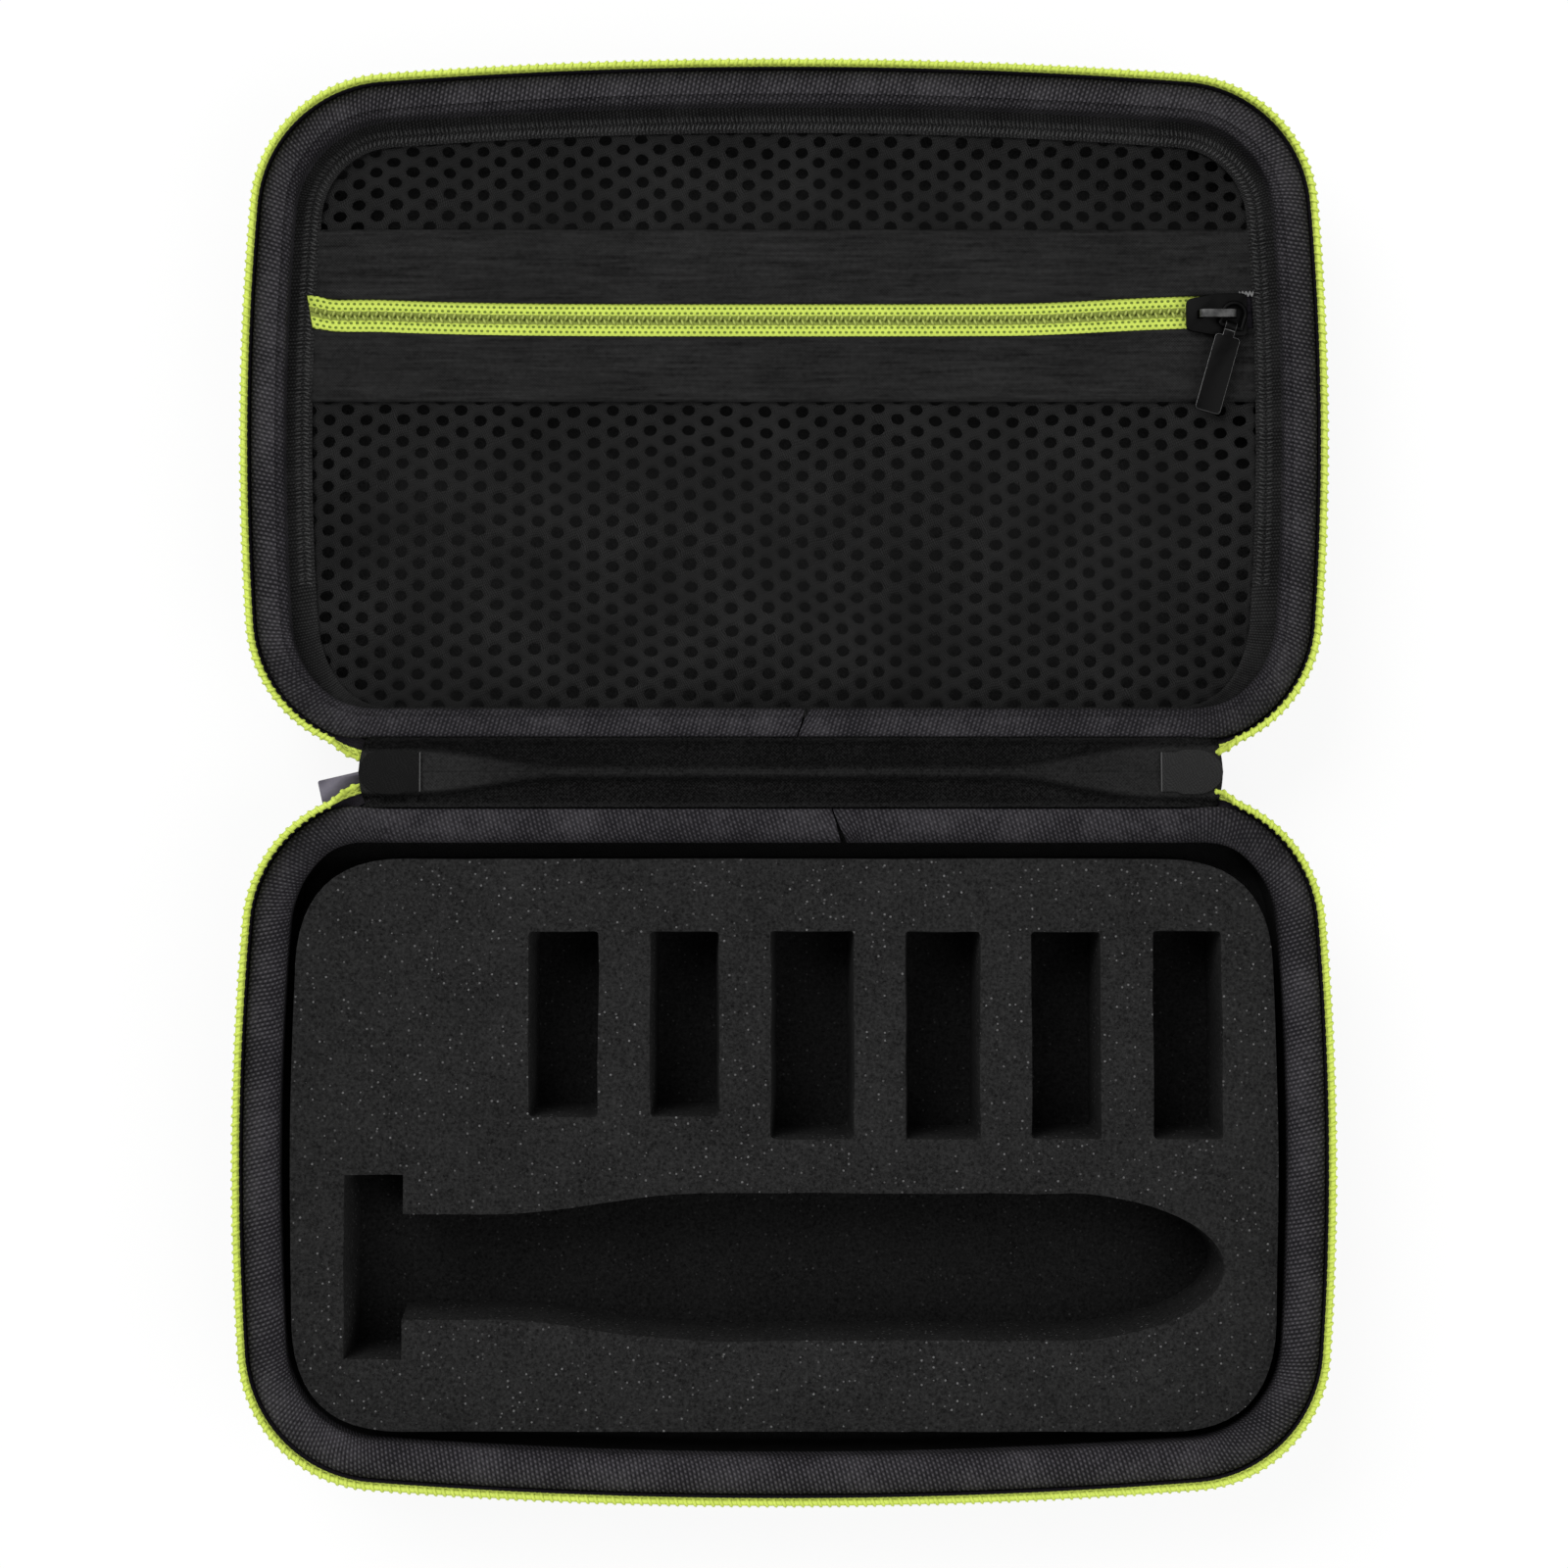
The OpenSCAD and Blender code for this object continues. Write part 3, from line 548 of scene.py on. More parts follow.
def spine_fabric(name, dark, light):
    """Fuzzy spine cloth: painted shade in its two valleys, painted light on the ridge and where it is pulled flat."""
    f = Finish(name)
    u, v = f.weave()
    over = crossed_threads(u, v, 0.62)
    fuzz = f.grain(0.5, 3.0, 0.65)
    cloudy = f.grain(16.0)
    flat = u.size().eased(FLAT_FROM, FLAT_TO)
    flat_half = flat * ((u > 0.0) * (FLAT_RIGHT - FLAT_LEFT) + FLAT_LEFT)
    # Painted shade: darker off the flat top, down in the two valleys.
    top = 1.0 - (v.size() - flat_half + (cloudy - 0.5) * 0.8).eased(0.3, 1.9)
    # Painted light: paler again where the cloth rises to the rims.
    painted_hem_light = v.size().eased(5.4, 6.4)
    # Painted highlight along the narrow ridge.
    painted_ridge_highlight = (1.0 - v.size().eased(0.1, 0.7)) * (1.0 - flat) * 0.14
    # Painted light on the top, more where it is pulled flat, with the flat right end painted darker than the left.
    shade = top * (flat * (0.34 - (u > 0.0) * 0.1) + 0.13) + painted_hem_light * 0.14 + painted_ridge_highlight
    share = (over * 0.2 + fuzz * 1.2 - 0.6 + shade + (cloudy - 0.5) * 0.3).clipped()
    return f.surface(f.tint(share, dark, light), 0.96 - over * 0.1, 0.06, f.bumps(over + fuzz * 0.6, 0.08))


def skin_cloth(name, dark, light):
    """Fine cloth stuck to the moulded shells, read from its place on the case."""
    f = Finish(name)
    x, y, z = f.axes()
    threads, wander = 1000.0 / 0.55, f.grain(3.0) * 5.0
    twill = ((x + y * 0.6 + z) * threads + wander).wave()
    cross = ((y - x * 0.6 - z * 0.8) * threads - wander).wave()
    thread = twill * 0.6 + cross * 0.4
    fuzz = f.grain(0.5, 3.0, 0.65)
    cloudy = f.grain(30.0, 3.0)
    share = (thread * 0.45 + fuzz * 0.35 + (cloudy - 0.4) * 0.5).clipped()
    return f.surface(f.tint(share, dark, light), 0.88 - thread * 0.1, 0.15, f.bumps(thread + fuzz * 0.5, 0.08))


def cut_foam(name, dark, light, speck):
    """Fine open-cell foam: dark pores, a mottled skin and scattered bright cell walls."""
    f = Finish(name)
    speck_gap, speck_r = 1.15, 0.19
    cells, near = f.cells(0.8), f.cells(speck_gap)
    luck, _, _ = f.axes(f.cells(speck_gap, "Color"))
    patchy = f.grain(9.0)
    bright = (luck > 0.5) * (near < speck_r) * ((luck - 0.48) * 1.5 + patchy - 0.5).clipped()
    pores = f.grain(0.56, 3.0, 0.7)
    cloudy = f.grain(12.0)
    share = (pores * 1.8 - 0.48 + (cloudy - 0.5) * 0.3 - (0.5 - cells) * 0.3).clipped()
    colour = f.tint(bright, f.tint(share, dark, light), speck)
    return f.surface(colour, 1.0 - bright * 0.4, 0.05, f.bumps(pores + cells * 0.4, 0.2))


def lime_tape(name, bright, dim, bare=None, core=None, stop=None):
    """Lime zip tape with rows of small stitch holes.

    Beyond bare across it, and beyond stop along it, it is coloured near-black. Up to core it has the coil's
    own colour.
    """
    f = Finish(name)
    u, v = f.weave()
    rows = v / 0.95
    hole = (u / 1.2 + rows.whole() * 0.5).wave() * (rows - 0.25).wave()
    thread = (u / 0.29).wave()
    cloudy = f.grain(7.0)
    share = (1.0 - (hole > 0.42) * 0.9 - (1.0 - thread) * 0.12 + (cloudy - 0.5) * 0.4).clipped()
    colour = f.tint(share, dim, bright)
    if bare is not None:
        colour = f.tint(v > bare, colour, TAPE_NEAR_BLACK)
    if core is not None:
        colour = f.tint(v < core, colour, OLIVE_DIM)
    if stop is not None:
        colour = f.tint(u > stop, colour, TAPE_NEAR_BLACK)
    return f.surface(colour, 0.82 - thread * 0.1, 0.2, f.bumps(thread * 0.5 - hole, 0.1))


def coil_nylon(name, bright, dim):
    """Moulded nylon wire, a little uneven in colour."""
    f = Finish(name)
    blotch = f.grain(3.0)
    fine = f.grain(0.4)
    share = (blotch * 0.8 + fine * 0.4 - 0.1).clipped()
    return f.surface(f.tint(share, dim, bright), 0.42 + fine * 0.2, 0.35, f.bumps(fine, 0.03))


def knit_net(name, dark, light):
    """Knitted net yarn: fine loops that run across the webs."""
    f = Finish(name)
    u, v = f.weave()
    drift = f.grain(2.5) * 1.2
    loops = ((u + v * 0.5 + drift) / 0.42).wave()
    strands = ((v - u * 0.35 + drift) / 0.5).wave()
    fuzz = f.grain(0.4, 3.0, 0.7)
    thread = loops * 0.5 + strands * 0.3 + fuzz * 0.5
    cloudy = f.grain(18.0)
    share = (thread * 1.3 - 0.45 + (cloudy - 0.5) * 0.9).clipped()
    return f.surface(f.tint(share, dark, light), 0.9 - loops * 0.15, 0.12, f.bumps(thread, 0.16))


def lacquer(name, colour, marks_and_sheen, rough, shine, metal=0.0):
    """Painted or plated metal with faint handling marks, which are painted highlights in the highlight finishes."""
    f = Finish(name)
    haze = f.grain(2.0, 4.0, 0.6)
    fine = f.grain(0.25)
    painted = f.tint((haze * 1.4 - 0.3).clipped(), colour, marks_and_sheen)
    return f.surface(painted, rough + (haze - 0.5) * 0.2, shine, f.bumps(fine, 0.01, 0.6), metal)


# Colours as screen greys, or as screen red, green and blue, from 0 to 255
LIME, LIME_DIM = (212, 229, 100), (150, 168, 64)
OLIVE, OLIVE_DIM = (178, 190, 94), (136, 148, 66)
# Near-black given to the rim tape's side in the crevice by the binding, and to the pocket tape's end.
TAPE_NEAR_BLACK = (21, 18, 25)
BINDING_DARK, BINDING_PALE = (22, 21, 24), (82, 80, 84)

shell_skin = skin_cloth("shell_skin", 20, 46)
lining_cloth = skin_cloth("lining_cloth", 26, 52)
binding_weave = ribbed_tape("binding_weave", BINDING_DARK, BINDING_PALE, rib=0.84, dash=0.95, slant=0.25, depth=0.16)
rim_tape = lime_tape("rim_tape", LIME, LIME_DIM, bare=16.7)
pocket_tape = lime_tape("pocket_tape", (198, 216, 92), (92, 110, 40), core=0.95, stop=89.0)
rim_coil = coil_nylon("rim_coil", LIME, (176, 194, 72))
pocket_coil = coil_nylon("pocket_coil", OLIVE, OLIVE_DIM)
foam_skin = cut_foam("foam_skin", 14, 49, 104)
# A darker copy of the foam, painted shade for the pad seen only at the bottoms of the cuts.
shaded_foam_floor = cut_foam("shaded_foam_floor", 8, 30, 48)
spine_weave = spine_fabric("spine_weave", 4, 46)
band_cloth = plain_cloth("band_cloth", 6, 42)
border_weave = ribbed_tape("border_weave", 16, 54, rib=0.7, dash=0.6, slant=0.1, depth=0.1)
net_yarn = knit_net("net_yarn", 10, 38)
seam_thread = coil_nylon("seam_thread", 52, 28)
tack_thread = coil_nylon("tack_thread", 128, 70)
# One tab cloth twice: the left tab's darker copy is painted shade, the right tab's lighter copy is painted light.
shaded_tab_skin = skin_cloth("shaded_tab_skin", 2, 15)
tab_skin = skin_cloth("tab_skin", 19, 45)
# Pale strip on each tab's inner end, painted as an edge highlight.
tab_edge_highlight = coil_nylon("tab_edge_highlight", 68, 48)
slider_black = lacquer("slider_black", 2, 8, rough=0.45, shine=0.06)
pull_black = lacquer("pull_black", 2, 9, rough=0.4, shine=0.06)
# Painted highlights: bright faces on the pull tab's edges and on the runner's bail.
painted_edge_highlight = lacquer("painted_edge_highlight", 70, 120, rough=0.35, shine=0.5, metal=0.4)
painted_bail_highlight = lacquer("painted_bail_highlight", 2, 100, rough=0.4, shine=0.2)
puller_grey = lacquer("puller_grey", (66, 62, 74), (92, 88, 100), rough=0.42, shine=0.4, metal=0.3)

# ---- moulded halves

TAN = math.tan(math.radians(DRAFT))
COS, SIN = math.cos(math.radians(DRAFT)), math.sin(math.radians(DRAFT))
FOOT_MID = -FOOT_R * COS - (SHELF_Z - FOOT_R + FOOT_R * SIN) * TAN
FLOOR_IN = CORNER_R - BACK_R


def wall_line(depth):
    """The moulded wall at a depth below its outer face, from the shelf down to the flat back."""
    line = [(-depth / COS, SHELF_Z)]
    for i in range(11):
        a = math.radians(-DRAFT - (90 - DRAFT) * i / 10)
        line.append((FOOT_MID + (FOOT_R - depth) * math.cos(a), FOOT_R + (FOOT_R - depth) * math.sin(a)))
    return line + [(-FLOOR_IN, depth)]


def wall_in(z):
    return (WALL + LINING_T) / COS + (SHELF_Z - z) * TAN


def moulded_layer(name, half, section, finish, slot):
    """One layer of a moulded half, closed across its flat back."""
    bm = swept(section, RIM, True)
    close_ends(bm)
    face_out(bm, half)
    finished(name, bm, finish, half, [f"{half}_{slot}"], 50)


# The binding: how much narrower it is rolled, how far its outer and inner flank draw in beside the spine, and
# the place along the spine where its ends meet
BINDING_OUT = -RIM_T - TAPE_T
NARROWER, BUTT_X = {"base": 1.4, "lid": 2.0}, {"base": 9.8, "lid": 3.2}
DRAWN_IN = {"base": (2.2, 1.9), "lid": (1.9, 1.0)}
DRAW_EASE, ROLL_FROM, ROLL_TO, ROLL_H = 12, -4.0, 0.6, 3
BUTT_MID, BUTT_SLANT, BUTT_DIP, BUTT_W = 3.5, 0.35, 0.5, 1.3


def rim_binding(half):
    """Ribbed tape rolled over the rim, with its two ends cut on a slant where they meet by the spine."""
    top, joint = SHELL_H + BINDING_CROWN, BUTT_X[half]
    inner = BINDING_OUT - BINDING_W + NARROWER[half]
    outer_draw, inner_draw = DRAWN_IN[half]
    flank = [(BINDING_OUT, SHELF_Z), (BINDING_OUT, SHELF_Z + 2.2), (BINDING_OUT, SHELF_Z + 4.4)]
    shoulder = [(BINDING_OUT, SHELL_H - 0.3), (BINDING_OUT + 0.08, SHELL_H + 0.72), (-0.1, SHELL_H + 0.84)]
    crown = [
        (0.42, SHELL_H + 1.1), (0.6, SHELL_H + 1.5), (0.35, top + 0.02), (-0.5, top + 0.24),
        (-1.7, top + 0.3), (-2.9, top + 0.3), (-4.1, top + 0.16),
        (inner + 1.2, top - 0.2), (inner + 0.3, top - 0.8), (inner - 0.25, top - 1.6),
        (inner - 0.4, top - 2.4), (inner - 0.25, top - 3.2), (inner, SHELL_H - 1.9),
    ]
    section = flank + shoulder + crown + [(inner, SHELF_Z + 2.2), (inner, SHELF_Z)]
    bm = swept(section + section[:1], RIM, joint=joint)
    lay_weave(bm, section)
    mid_y = -RIM_GAP / 2 - BUTT_MID
    for v in bm.verts:
        by_spine = smooth((CORNER_X + DRAW_EASE - abs(v.co.x)) / DRAW_EASE) if v.co.y > REAR_Y else 0.0
        if by_spine and v.co.z > SHELL_H - ROLL_H:
            _, out = along_rim(v.co.x, v.co.y)
            outer = min(max((out - ROLL_FROM) / (ROLL_TO - ROLL_FROM), 0.0), 1.0)
            clear = SHELL_H + 0.5 < v.co.z or out < ROLL_FROM
            v.co.y -= by_spine * (outer_draw * outer * clear + inner_draw * (1 - outer))
        off = v.co.x - joint - END_GAP / 2
        if v.co.y > REAR_Y and abs(off) < END_EASE:
            near = smooth(1 - abs(off) / END_EASE)
            inward = mid_y - v.co.y
            v.co.x += (BUTT_SLANT * inward + math.copysign(0.1 * max(inward, 0.0), off)) * near
            v.co.z -= BUTT_DIP * max(1 - abs(off) / BUTT_W, 0.0) ** 2 * smooth((v.co.z - SHELL_H) / 1.5)
    close_ends(bm)
    face_out(bm, half)
    finished(half + "_rolled_tape", bm, binding_weave, half, [half + "_binding"], 60)


RIM_WIRE, RIM_LEAN, CORE_W, CORE_H, ZIP_TURN_STEP = 0.36, 0.32, 0.55, 0.62, 1.6


def rim_zip(half, shift):
    """Tape that leans out above the rim, with a coil on its edge, set along by a share of its pitch."""
    tip = ZIP_FLARE - COIL_T / 2
    bend, top, coil_z = BEND_Z, TAPE_TOP_Z + 1.0, TAPE_TOP_Z + COIL_H / 2
    t = TAPE_T / 2 - 0.02
    outer = [(-RIM_T - 0.02, SHELF_Z + 0.1), (-RIM_T - 0.02, bend), (0.75, bend + 0.05), (1.55, bend + 1.05)]
    inner = [(1.08, bend + 1.25), (0.5, bend + 0.47), (-1.5, bend + 0.43), (BINDING_OUT + 0.02, bend)]
    tip_line = [(tip + t, TAPE_TOP_Z), (tip + t, top), (tip - t, top), (tip - t, TAPE_TOP_Z)]
    section = outer + tip_line + inner + [(BINDING_OUT + 0.02, SHELF_Z + 0.1)]
    bm = swept(section + section[:1], ZIP, turn_step=ZIP_TURN_STEP)
    lay_weave(bm, section)
    close_ends(bm)
    dip_ends(bm)
    face_out(bm, half)
    finished(half + "_zip_strip", bm, rim_tape, half, [half + "_zip_tape"], 60)
    places = []
    for point, along, out in rim_places(ZIP, tip, COIL_PITCH):
        point = point + along * shift * COIL_PITCH
        point.z = coil_z
        places.append(frame_at(point, along, out))
    bm = repeated(wire_loop(COIL_T / 2, COIL_H / 2 - 0.05, RIM_WIRE, RIM_LEAN), places)
    turns = [math.tau * i / 8 for i in range(9)]
    cord = swept(
        [(tip + CORE_W * math.cos(a), coil_z + CORE_H * math.sin(a)) for a in turns], ZIP, turn_step=ZIP_TURN_STEP
    )
    close_ends(cord)
    join_in(bm, cord)
    dip_ends(bm)
    face_out(bm, half)
    finished(half + "_zip_coil", bm, rim_coil, half, [half + "_zip_teeth"], 60)


HALVES = ("base", "lid")
EASE, GLUE = 0.3, 0.02
rim_edge = [
    (-RIM_T, SHELF_Z), (-RIM_T, SHELL_H - EASE), (-RIM_T + EASE, SHELL_H), (-EASE, SHELL_H), (0, SHELL_H - EASE)
]
shell_section = wall_line(WALL)[::-1] + rim_edge + wall_line(0)
lining_section = wall_line(WALL + LINING_T)[::-1] + wall_line(WALL + GLUE)
for half in HALVES:
    moulded_layer(half + "_moulding", half, shell_section, shell_skin, "shell")
for half in HALVES:
    moulded_layer(half + "_cloth", half, lining_section, lining_cloth, "lining")
for half in HALVES:
    rim_binding(half)
for half, shift in zip(HALVES, (0.0, 0.5)):
    rim_zip(half, shift)

# ---- foam

INSERT_Z = FLOOR_Z + PAD_T
FOAM_TOP = SHELL_H - FOAM_DROP
FOAM_TAPER, FOAM_EASE, CUT_PACE, CUT_SWAY, SIDE_PACE, SIDE_SWAY = 1.0, 0.45, 2.0, 0.22, 3.0, 0.1
FOAM_X = CORNER_X + CORNER_R + BINDING_OUT - BINDING_W - FOAM_SIDE
FOAM_REAR_Y = -(RIM_GAP / 2 + wall_in(INSERT_Z) + FOAM_REAR)
FOAM_FRONT_Y = -(RIM_GAP / 2 + HALF_D - BOW_RISE * CORNER_X - wall_in(INSERT_Z) - FOAM_FRONT)


def in_turn(points):
    """Each point of a closed line, between the one before it and the one after it."""
    points = [Vector(p) for p in points]
    return zip(points[-1:] + points, points, points[1:] + points[:1])


def rounded(points, r, steps):
    """A closed line with each corner drawn as a short curve."""
    line = []
    for before, at, after in in_turn(points):
        a, b = at + (before - at).normalized() * r, at + (after - at).normalized() * r
        line += [(1 - t) ** 2 * a + 2 * t * (1 - t) * at + t * t * b for t in (k / steps for k in range(steps + 1))]
    return line


def cut_by_hand(points, pace, sway):
    """The line with points every pace millimetres, swaying a little as a knife cut does."""
    line = []
    for _, p, q in in_turn(points):
        n = max(1, round((q - p).length / pace))
        for k in range(n):
            at = p.lerp(q, k / n)
            shift = noise.noise_vector(Vector((at.x, at.y, 3.0)) * 0.09)
            fine = noise.noise_vector(Vector((at.x, at.y, 8.0)) * 0.5)
            line.append((at.x + sway * (shift.x + 0.35 * fine.x), at.y + sway * (shift.y + 0.35 * fine.y)))
    return line


def drawn_in(points, reach):
    """The line moved reach millimetres towards its inside."""
    turned = sum(p.cross(q) for _, p, q in in_turn(points))
    line = []
    for before, at, after in in_turn(points):
        way = (after - before).normalized() * math.copysign(reach, turned)
        line.append((at.x - way.y, at.y + way.x))
    return line


def trimmer_line():
    """Outline of a trimmer lying on its back: blade head, neck, body and round tail."""
    shoulder, tip = HEAD_W + NECK_L, 2 * (FOAM_X - FOAM_MARGIN)
    edge = [(HEAD_W, NECK_W / 2)]
    for t in (i / 24 for i in range(25)):
        edge.append((shoulder + SHOULDER_L * t, NECK_W / 2 + (BODY_W - NECK_W) / 2 * smooth(t)))
    for a in (math.pi / 2 * i / 16 for i in range(1, 16)):
        edge.append((tip - TAIL_L + TAIL_L * math.sin(a), BODY_W / 2 * math.cos(a)))
    head = [(HEAD_W, HEAD_L / 2), (0.0, HEAD_L / 2), (0.0, -HEAD_L / 2), (HEAD_W, -HEAD_L / 2)]
    line = head + [(x, -y) for x, y in edge] + [(tip, 0.0)] + edge[::-1]
    return [(x - FOAM_X + FOAM_MARGIN, y + FOAM_FRONT_Y + POCKET_FRONT) for x, y in line]


def comb_slot_lines():
    lines, right, top = [], FOAM_X - FOAM_MARGIN, FOAM_REAR_Y - SLOT_MARGIN
    for width, length in zip(SLOT_W[::-1], SLOT_L[::-1]):
        left, low = right - width, top - length
        lines.append(rounded([(left, low), (right, low), (right, top), (left, top)], CUT_R / 2, 3))
        right = left - SLOT_GAP
    return lines


def foam_line(inset):
    """Outline of the foam; its short sides bow as the rim does."""
    x, front, rear, mid = FOAM_X - inset, FOAM_FRONT_Y + inset, FOAM_REAR_Y - inset, (REAR_Y + FRONT_Y) / 2
    bow = BOW_RISE * SIDE_C
    corners = [(-x, front), (x, front), (x + bow, mid), (x, rear), (-x, rear), (-x - bow, mid)]
    return rounded(corners, FOAM_CORNER_R, 12)


cuts = [cut_by_hand(line, CUT_PACE, CUT_SWAY) for line in comb_slot_lines() + [trimmer_line()]]
lines = [cut_by_hand(foam_line(0), SIDE_PACE, SIDE_SWAY)] + cuts
bm = raised(lines, INSERT_Z, FOAM_TOP - INSERT_Z)
floor_line = {
    (round(x, 2), round(y, 2)): inside for cut in cuts for (x, y), inside in zip(cut, drawn_in(cut, FOAM_TAPER))
}
for v in bm.verts:
    inside = floor_line.get((round(v.co.x, 2), round(v.co.y, 2)))
    if inside and v.co.z < INSERT_Z + 0.1:
        v.co.x, v.co.y = inside
soften(bm, FOAM_EASE, least=1.2)
foam_block = finished("foam_block", bm, foam_skin, "base", ["foam_insert"], 35)

# The pad takes the darker copy of the foam, painted shade.
bed_line = cut_by_hand(foam_line(FOOT_R - WALL - LINING_T), SIDE_PACE, SIDE_SWAY)
bm = raised([bed_line], FLOOR_Z + GLUE, PAD_T - 2 * GLUE)
foam_bed = finished("foam_bed", bm, shaded_foam_floor, "base", ["foam_pad"], 35)

# ---- lid pocket

POCKET_Z = SHELF_Z - BORDER_T
NET_Z = POCKET_Z - NET_T
BORDER_IN = wall_in(POCKET_Z) + BORDER_W
CHAIN_Y = RIM_GAP / 2 + POCKET_ZIP_D
INNER_HALF = CORNER_X + CORNER_R - BORDER_IN
CHAIN_X = INNER_HALF - LAP
OVERLOCK, OVERLOCK_STOP, HEM_T, SPINE_SIDE, NET_LAP, BAND_LAP = 0.9, 6, 0.64, 3.2, 2.4, 2.0

# Where the pocket zip leaves its line, as how much, from where and over what length
HANG, HANG_REACH = 0.9, 80
LEFT_TURN, RIGHT_TURN, LEFT_LIFT = (0.8, 88, 6), (0.7, 44, 30), (0.75, 91, 1.8)
LEFT_TAPER, LEFT_SLANT = (1.3, 83, 4), (0.2, 85, 8)


def eased_by(change, x):
    much, start, length = change
    return much * smooth((x - start) / length)


def sag(x):
    """How far the pocket zip lies off its line: its middle hangs towards the spine, and its ends turn away."""
    hang = HANG * max(0.0, 1 - abs(x / HANG_REACH) ** 4)
    return eased_by(LEFT_TURN, -x) + eased_by(RIGHT_TURN, x) - hang


def lift(x):
    """How far the left end of the pocket zip climbs onto the border."""
    return eased_by(LEFT_LIFT, -x)


hem_line = [
    (0.0, 0.05), (-0.05, 0.4), (0.35, 0.62), (1.3, HEM_T), (1.95, 0.5), (2.6, HEM_T), (3.9, 0.5),
    (BORDER_W - 0.1, 0.55), (BORDER_W - 0.1, 0.05),
]
border_section = [(across - BORDER_IN, POCKET_Z + up) for across, up in hem_line]
bm = swept(border_section + border_section[:1], RIM, True)
lay_weave(bm, border_section)
for v in bm.verts:
    _, out = along_rim(v.co.x, v.co.y)
    inward = 1 - (out + BORDER_IN) / BORDER_W
    v.co.y += SPINE_SIDE * inward * smooth((v.co.y - REAR_Y) / (CORNER_R - BORDER_IN))
face_out(bm, "lid")
finished("pocket_hem", bm, border_weave, "lid", ["pocket_border"], 60)

places = []
for column, slant in ((1.15, 0.35), (2.75, -0.25)):
    for point, along, out in rim_places(RIM, -BORDER_IN + column, OVERLOCK):
        if point.y < REAR_Y - OVERLOCK_STOP:
            point.z = POCKET_Z + HEM_T
            places.append(stitch_place(point, (out + along * slant).normalized()))
bm = repeated(stitch_bead(length=1.5, width=0.36, height=0.34), places)
face_out(bm, "lid")
finished("pocket_hem_overlock", bm, seam_thread, "lid")

TACK_X, TACK_GAP, TACK_OFF = 90.0, 0.36, 4.3
places = []
for i in range(8):
    at = Vector((TACK_X + TACK_GAP * i, CHAIN_Y + TACK_OFF, POCKET_Z + 0.85))
    places.append(stitch_place(at, Vector((0.25 if i % 2 else -0.3, 1, 0)).normalized()))
bm = repeated(stitch_bead(length=1.4, width=0.4, height=0.36), places)
face_out(bm)
finished("zip_end_tack", bm, tack_thread, "lid")


def net_panel(name, low, high, node, pitch_x):
    """Knitted net between two distances from the spine: one webbed cell, laid out in staggered rows."""
    pitch_y, gap, oval, tip_share, edge_ease = 4.3, 1.3, 0.84, 0.357, 6.0
    bm = bmesh.new()
    point, slope, rise = pitch_x * tip_share, pitch_x * (0.5 - tip_share), pitch_y / 2
    corners = [(point, 0), (slope, rise), (-slope, rise), (-point, 0), (-slope, -rise), (slope, -rise)]
    outline(bm, corners, 0)
    hole = bmesh.ops.create_circle(bm, segments=12, radius=gap)["verts"]
    bmesh.ops.scale(bm, vec=(1.0, oval, 1), verts=hole)
    bmesh.ops.triangle_fill(bm, use_beauty=True, edges=list(bm.edges))
    cell = as_mesh(bm, "net_cell")
    places = []
    for row in range(math.floor(low / pitch_y * 2) - 1, math.ceil(high / pitch_y * 2) + 2):
        y = row * pitch_y / 2
        for col in range(-16, 17):
            x = (col + (row % 2) / 2) * pitch_x
            if abs(x) > CORNER_X + CORNER_R:
                continue
            _, out = along_rim(x, -y)
            inside = out < -BORDER_IN + (NET_LAP if y > -REAR_Y else NET_LAP + SPINE_SIDE)
            if inside and low - 3 < y < high + 3:
                places.append(Matrix.Translation((x, y, 0)))
    bm = repeated(cell, places)
    bmesh.ops.remove_doubles(bm, verts=bm.verts, dist=0.05)
    for edge, clear_out in ((low, False), (high, True)):
        geom = [*bm.verts, *bm.edges, *bm.faces]
        bmesh.ops.bisect_plane(
            bm, geom=geom, plane_co=(0, edge, 0), plane_no=(0, 1, 0), clear_outer=clear_out, clear_inner=not clear_out
        )
    lay_weave_by(bm, lambda at: at.xy)
    for v in bm.verts:
        at = Vector((v.co.x, v.co.y, 0.0))
        edge_room = min(v.co.y - low, high - v.co.y, edge_ease) / edge_ease
        drift = noise.noise_vector(at * 0.035) * 1.3 + noise.noise_vector(at * 0.12) * 0.35
        v.co.x += drift.x * edge_room
        v.co.y += drift.y * edge_room
        v.co.z = NET_Z + 0.28 + (noise.noise(at * 0.05) * 0.5 - 0.35) * edge_room
    face_out(bm)
    if sum(f.normal.z for f in bm.faces) < 0:
        bmesh.ops.reverse_faces(bm, faces=bm.faces)
    cloth = sum(f.calc_area() for f in bm.faces) * MM**2
    net = finished(name, bm, net_yarn, "lid", [node], 60)
    flat = (2 * (INNER_HALF + NET_LAP) * MM, (high - low) * MM)
    max(cloth, 0.31 * flat[0] * flat[1])
    give_thickness(net, 0.0)


def cloth_band(name, low, high, node, zip_side):
    """Folded cloth band: flat, with a tuck along its zip edge and a soft roll along the other."""
    bm = grid(90, 18)
    length = 2 * (INNER_HALF + BAND_LAP)
    for v in bm.verts:
        across = v.co.y + 0.5
        x = v.co.x * length
        y = low + across * (high - low)
        from_zip = across if zip_side < 0 else 1 - across
        tuck = 0.28 * math.exp(-(((from_zip - 0.34) / 0.035) ** 2))
        roll = 0.22 * math.exp(-(((from_zip - 0.93) / 0.05) ** 2))
        lip = 0.3 * math.exp(-((from_zip / 0.05) ** 2))
        soft = 0.25 * noise.noise(Vector((x * 0.02, y * 0.06, 2.0)))
        v.co.z = POCKET_Z + 0.42 - tuck + roll + lip + soft * min(1.0, from_zip * 4)
        v.co.x = x
        v.co.y = y + sag(x) * (1 - from_zip)
    lay_weave_by(bm, lambda at: at.xy)
    band = finished(name, bm, band_cloth, "lid", [node], 80)
    length * MM
    (high - low) * MM
    give_thickness(band)


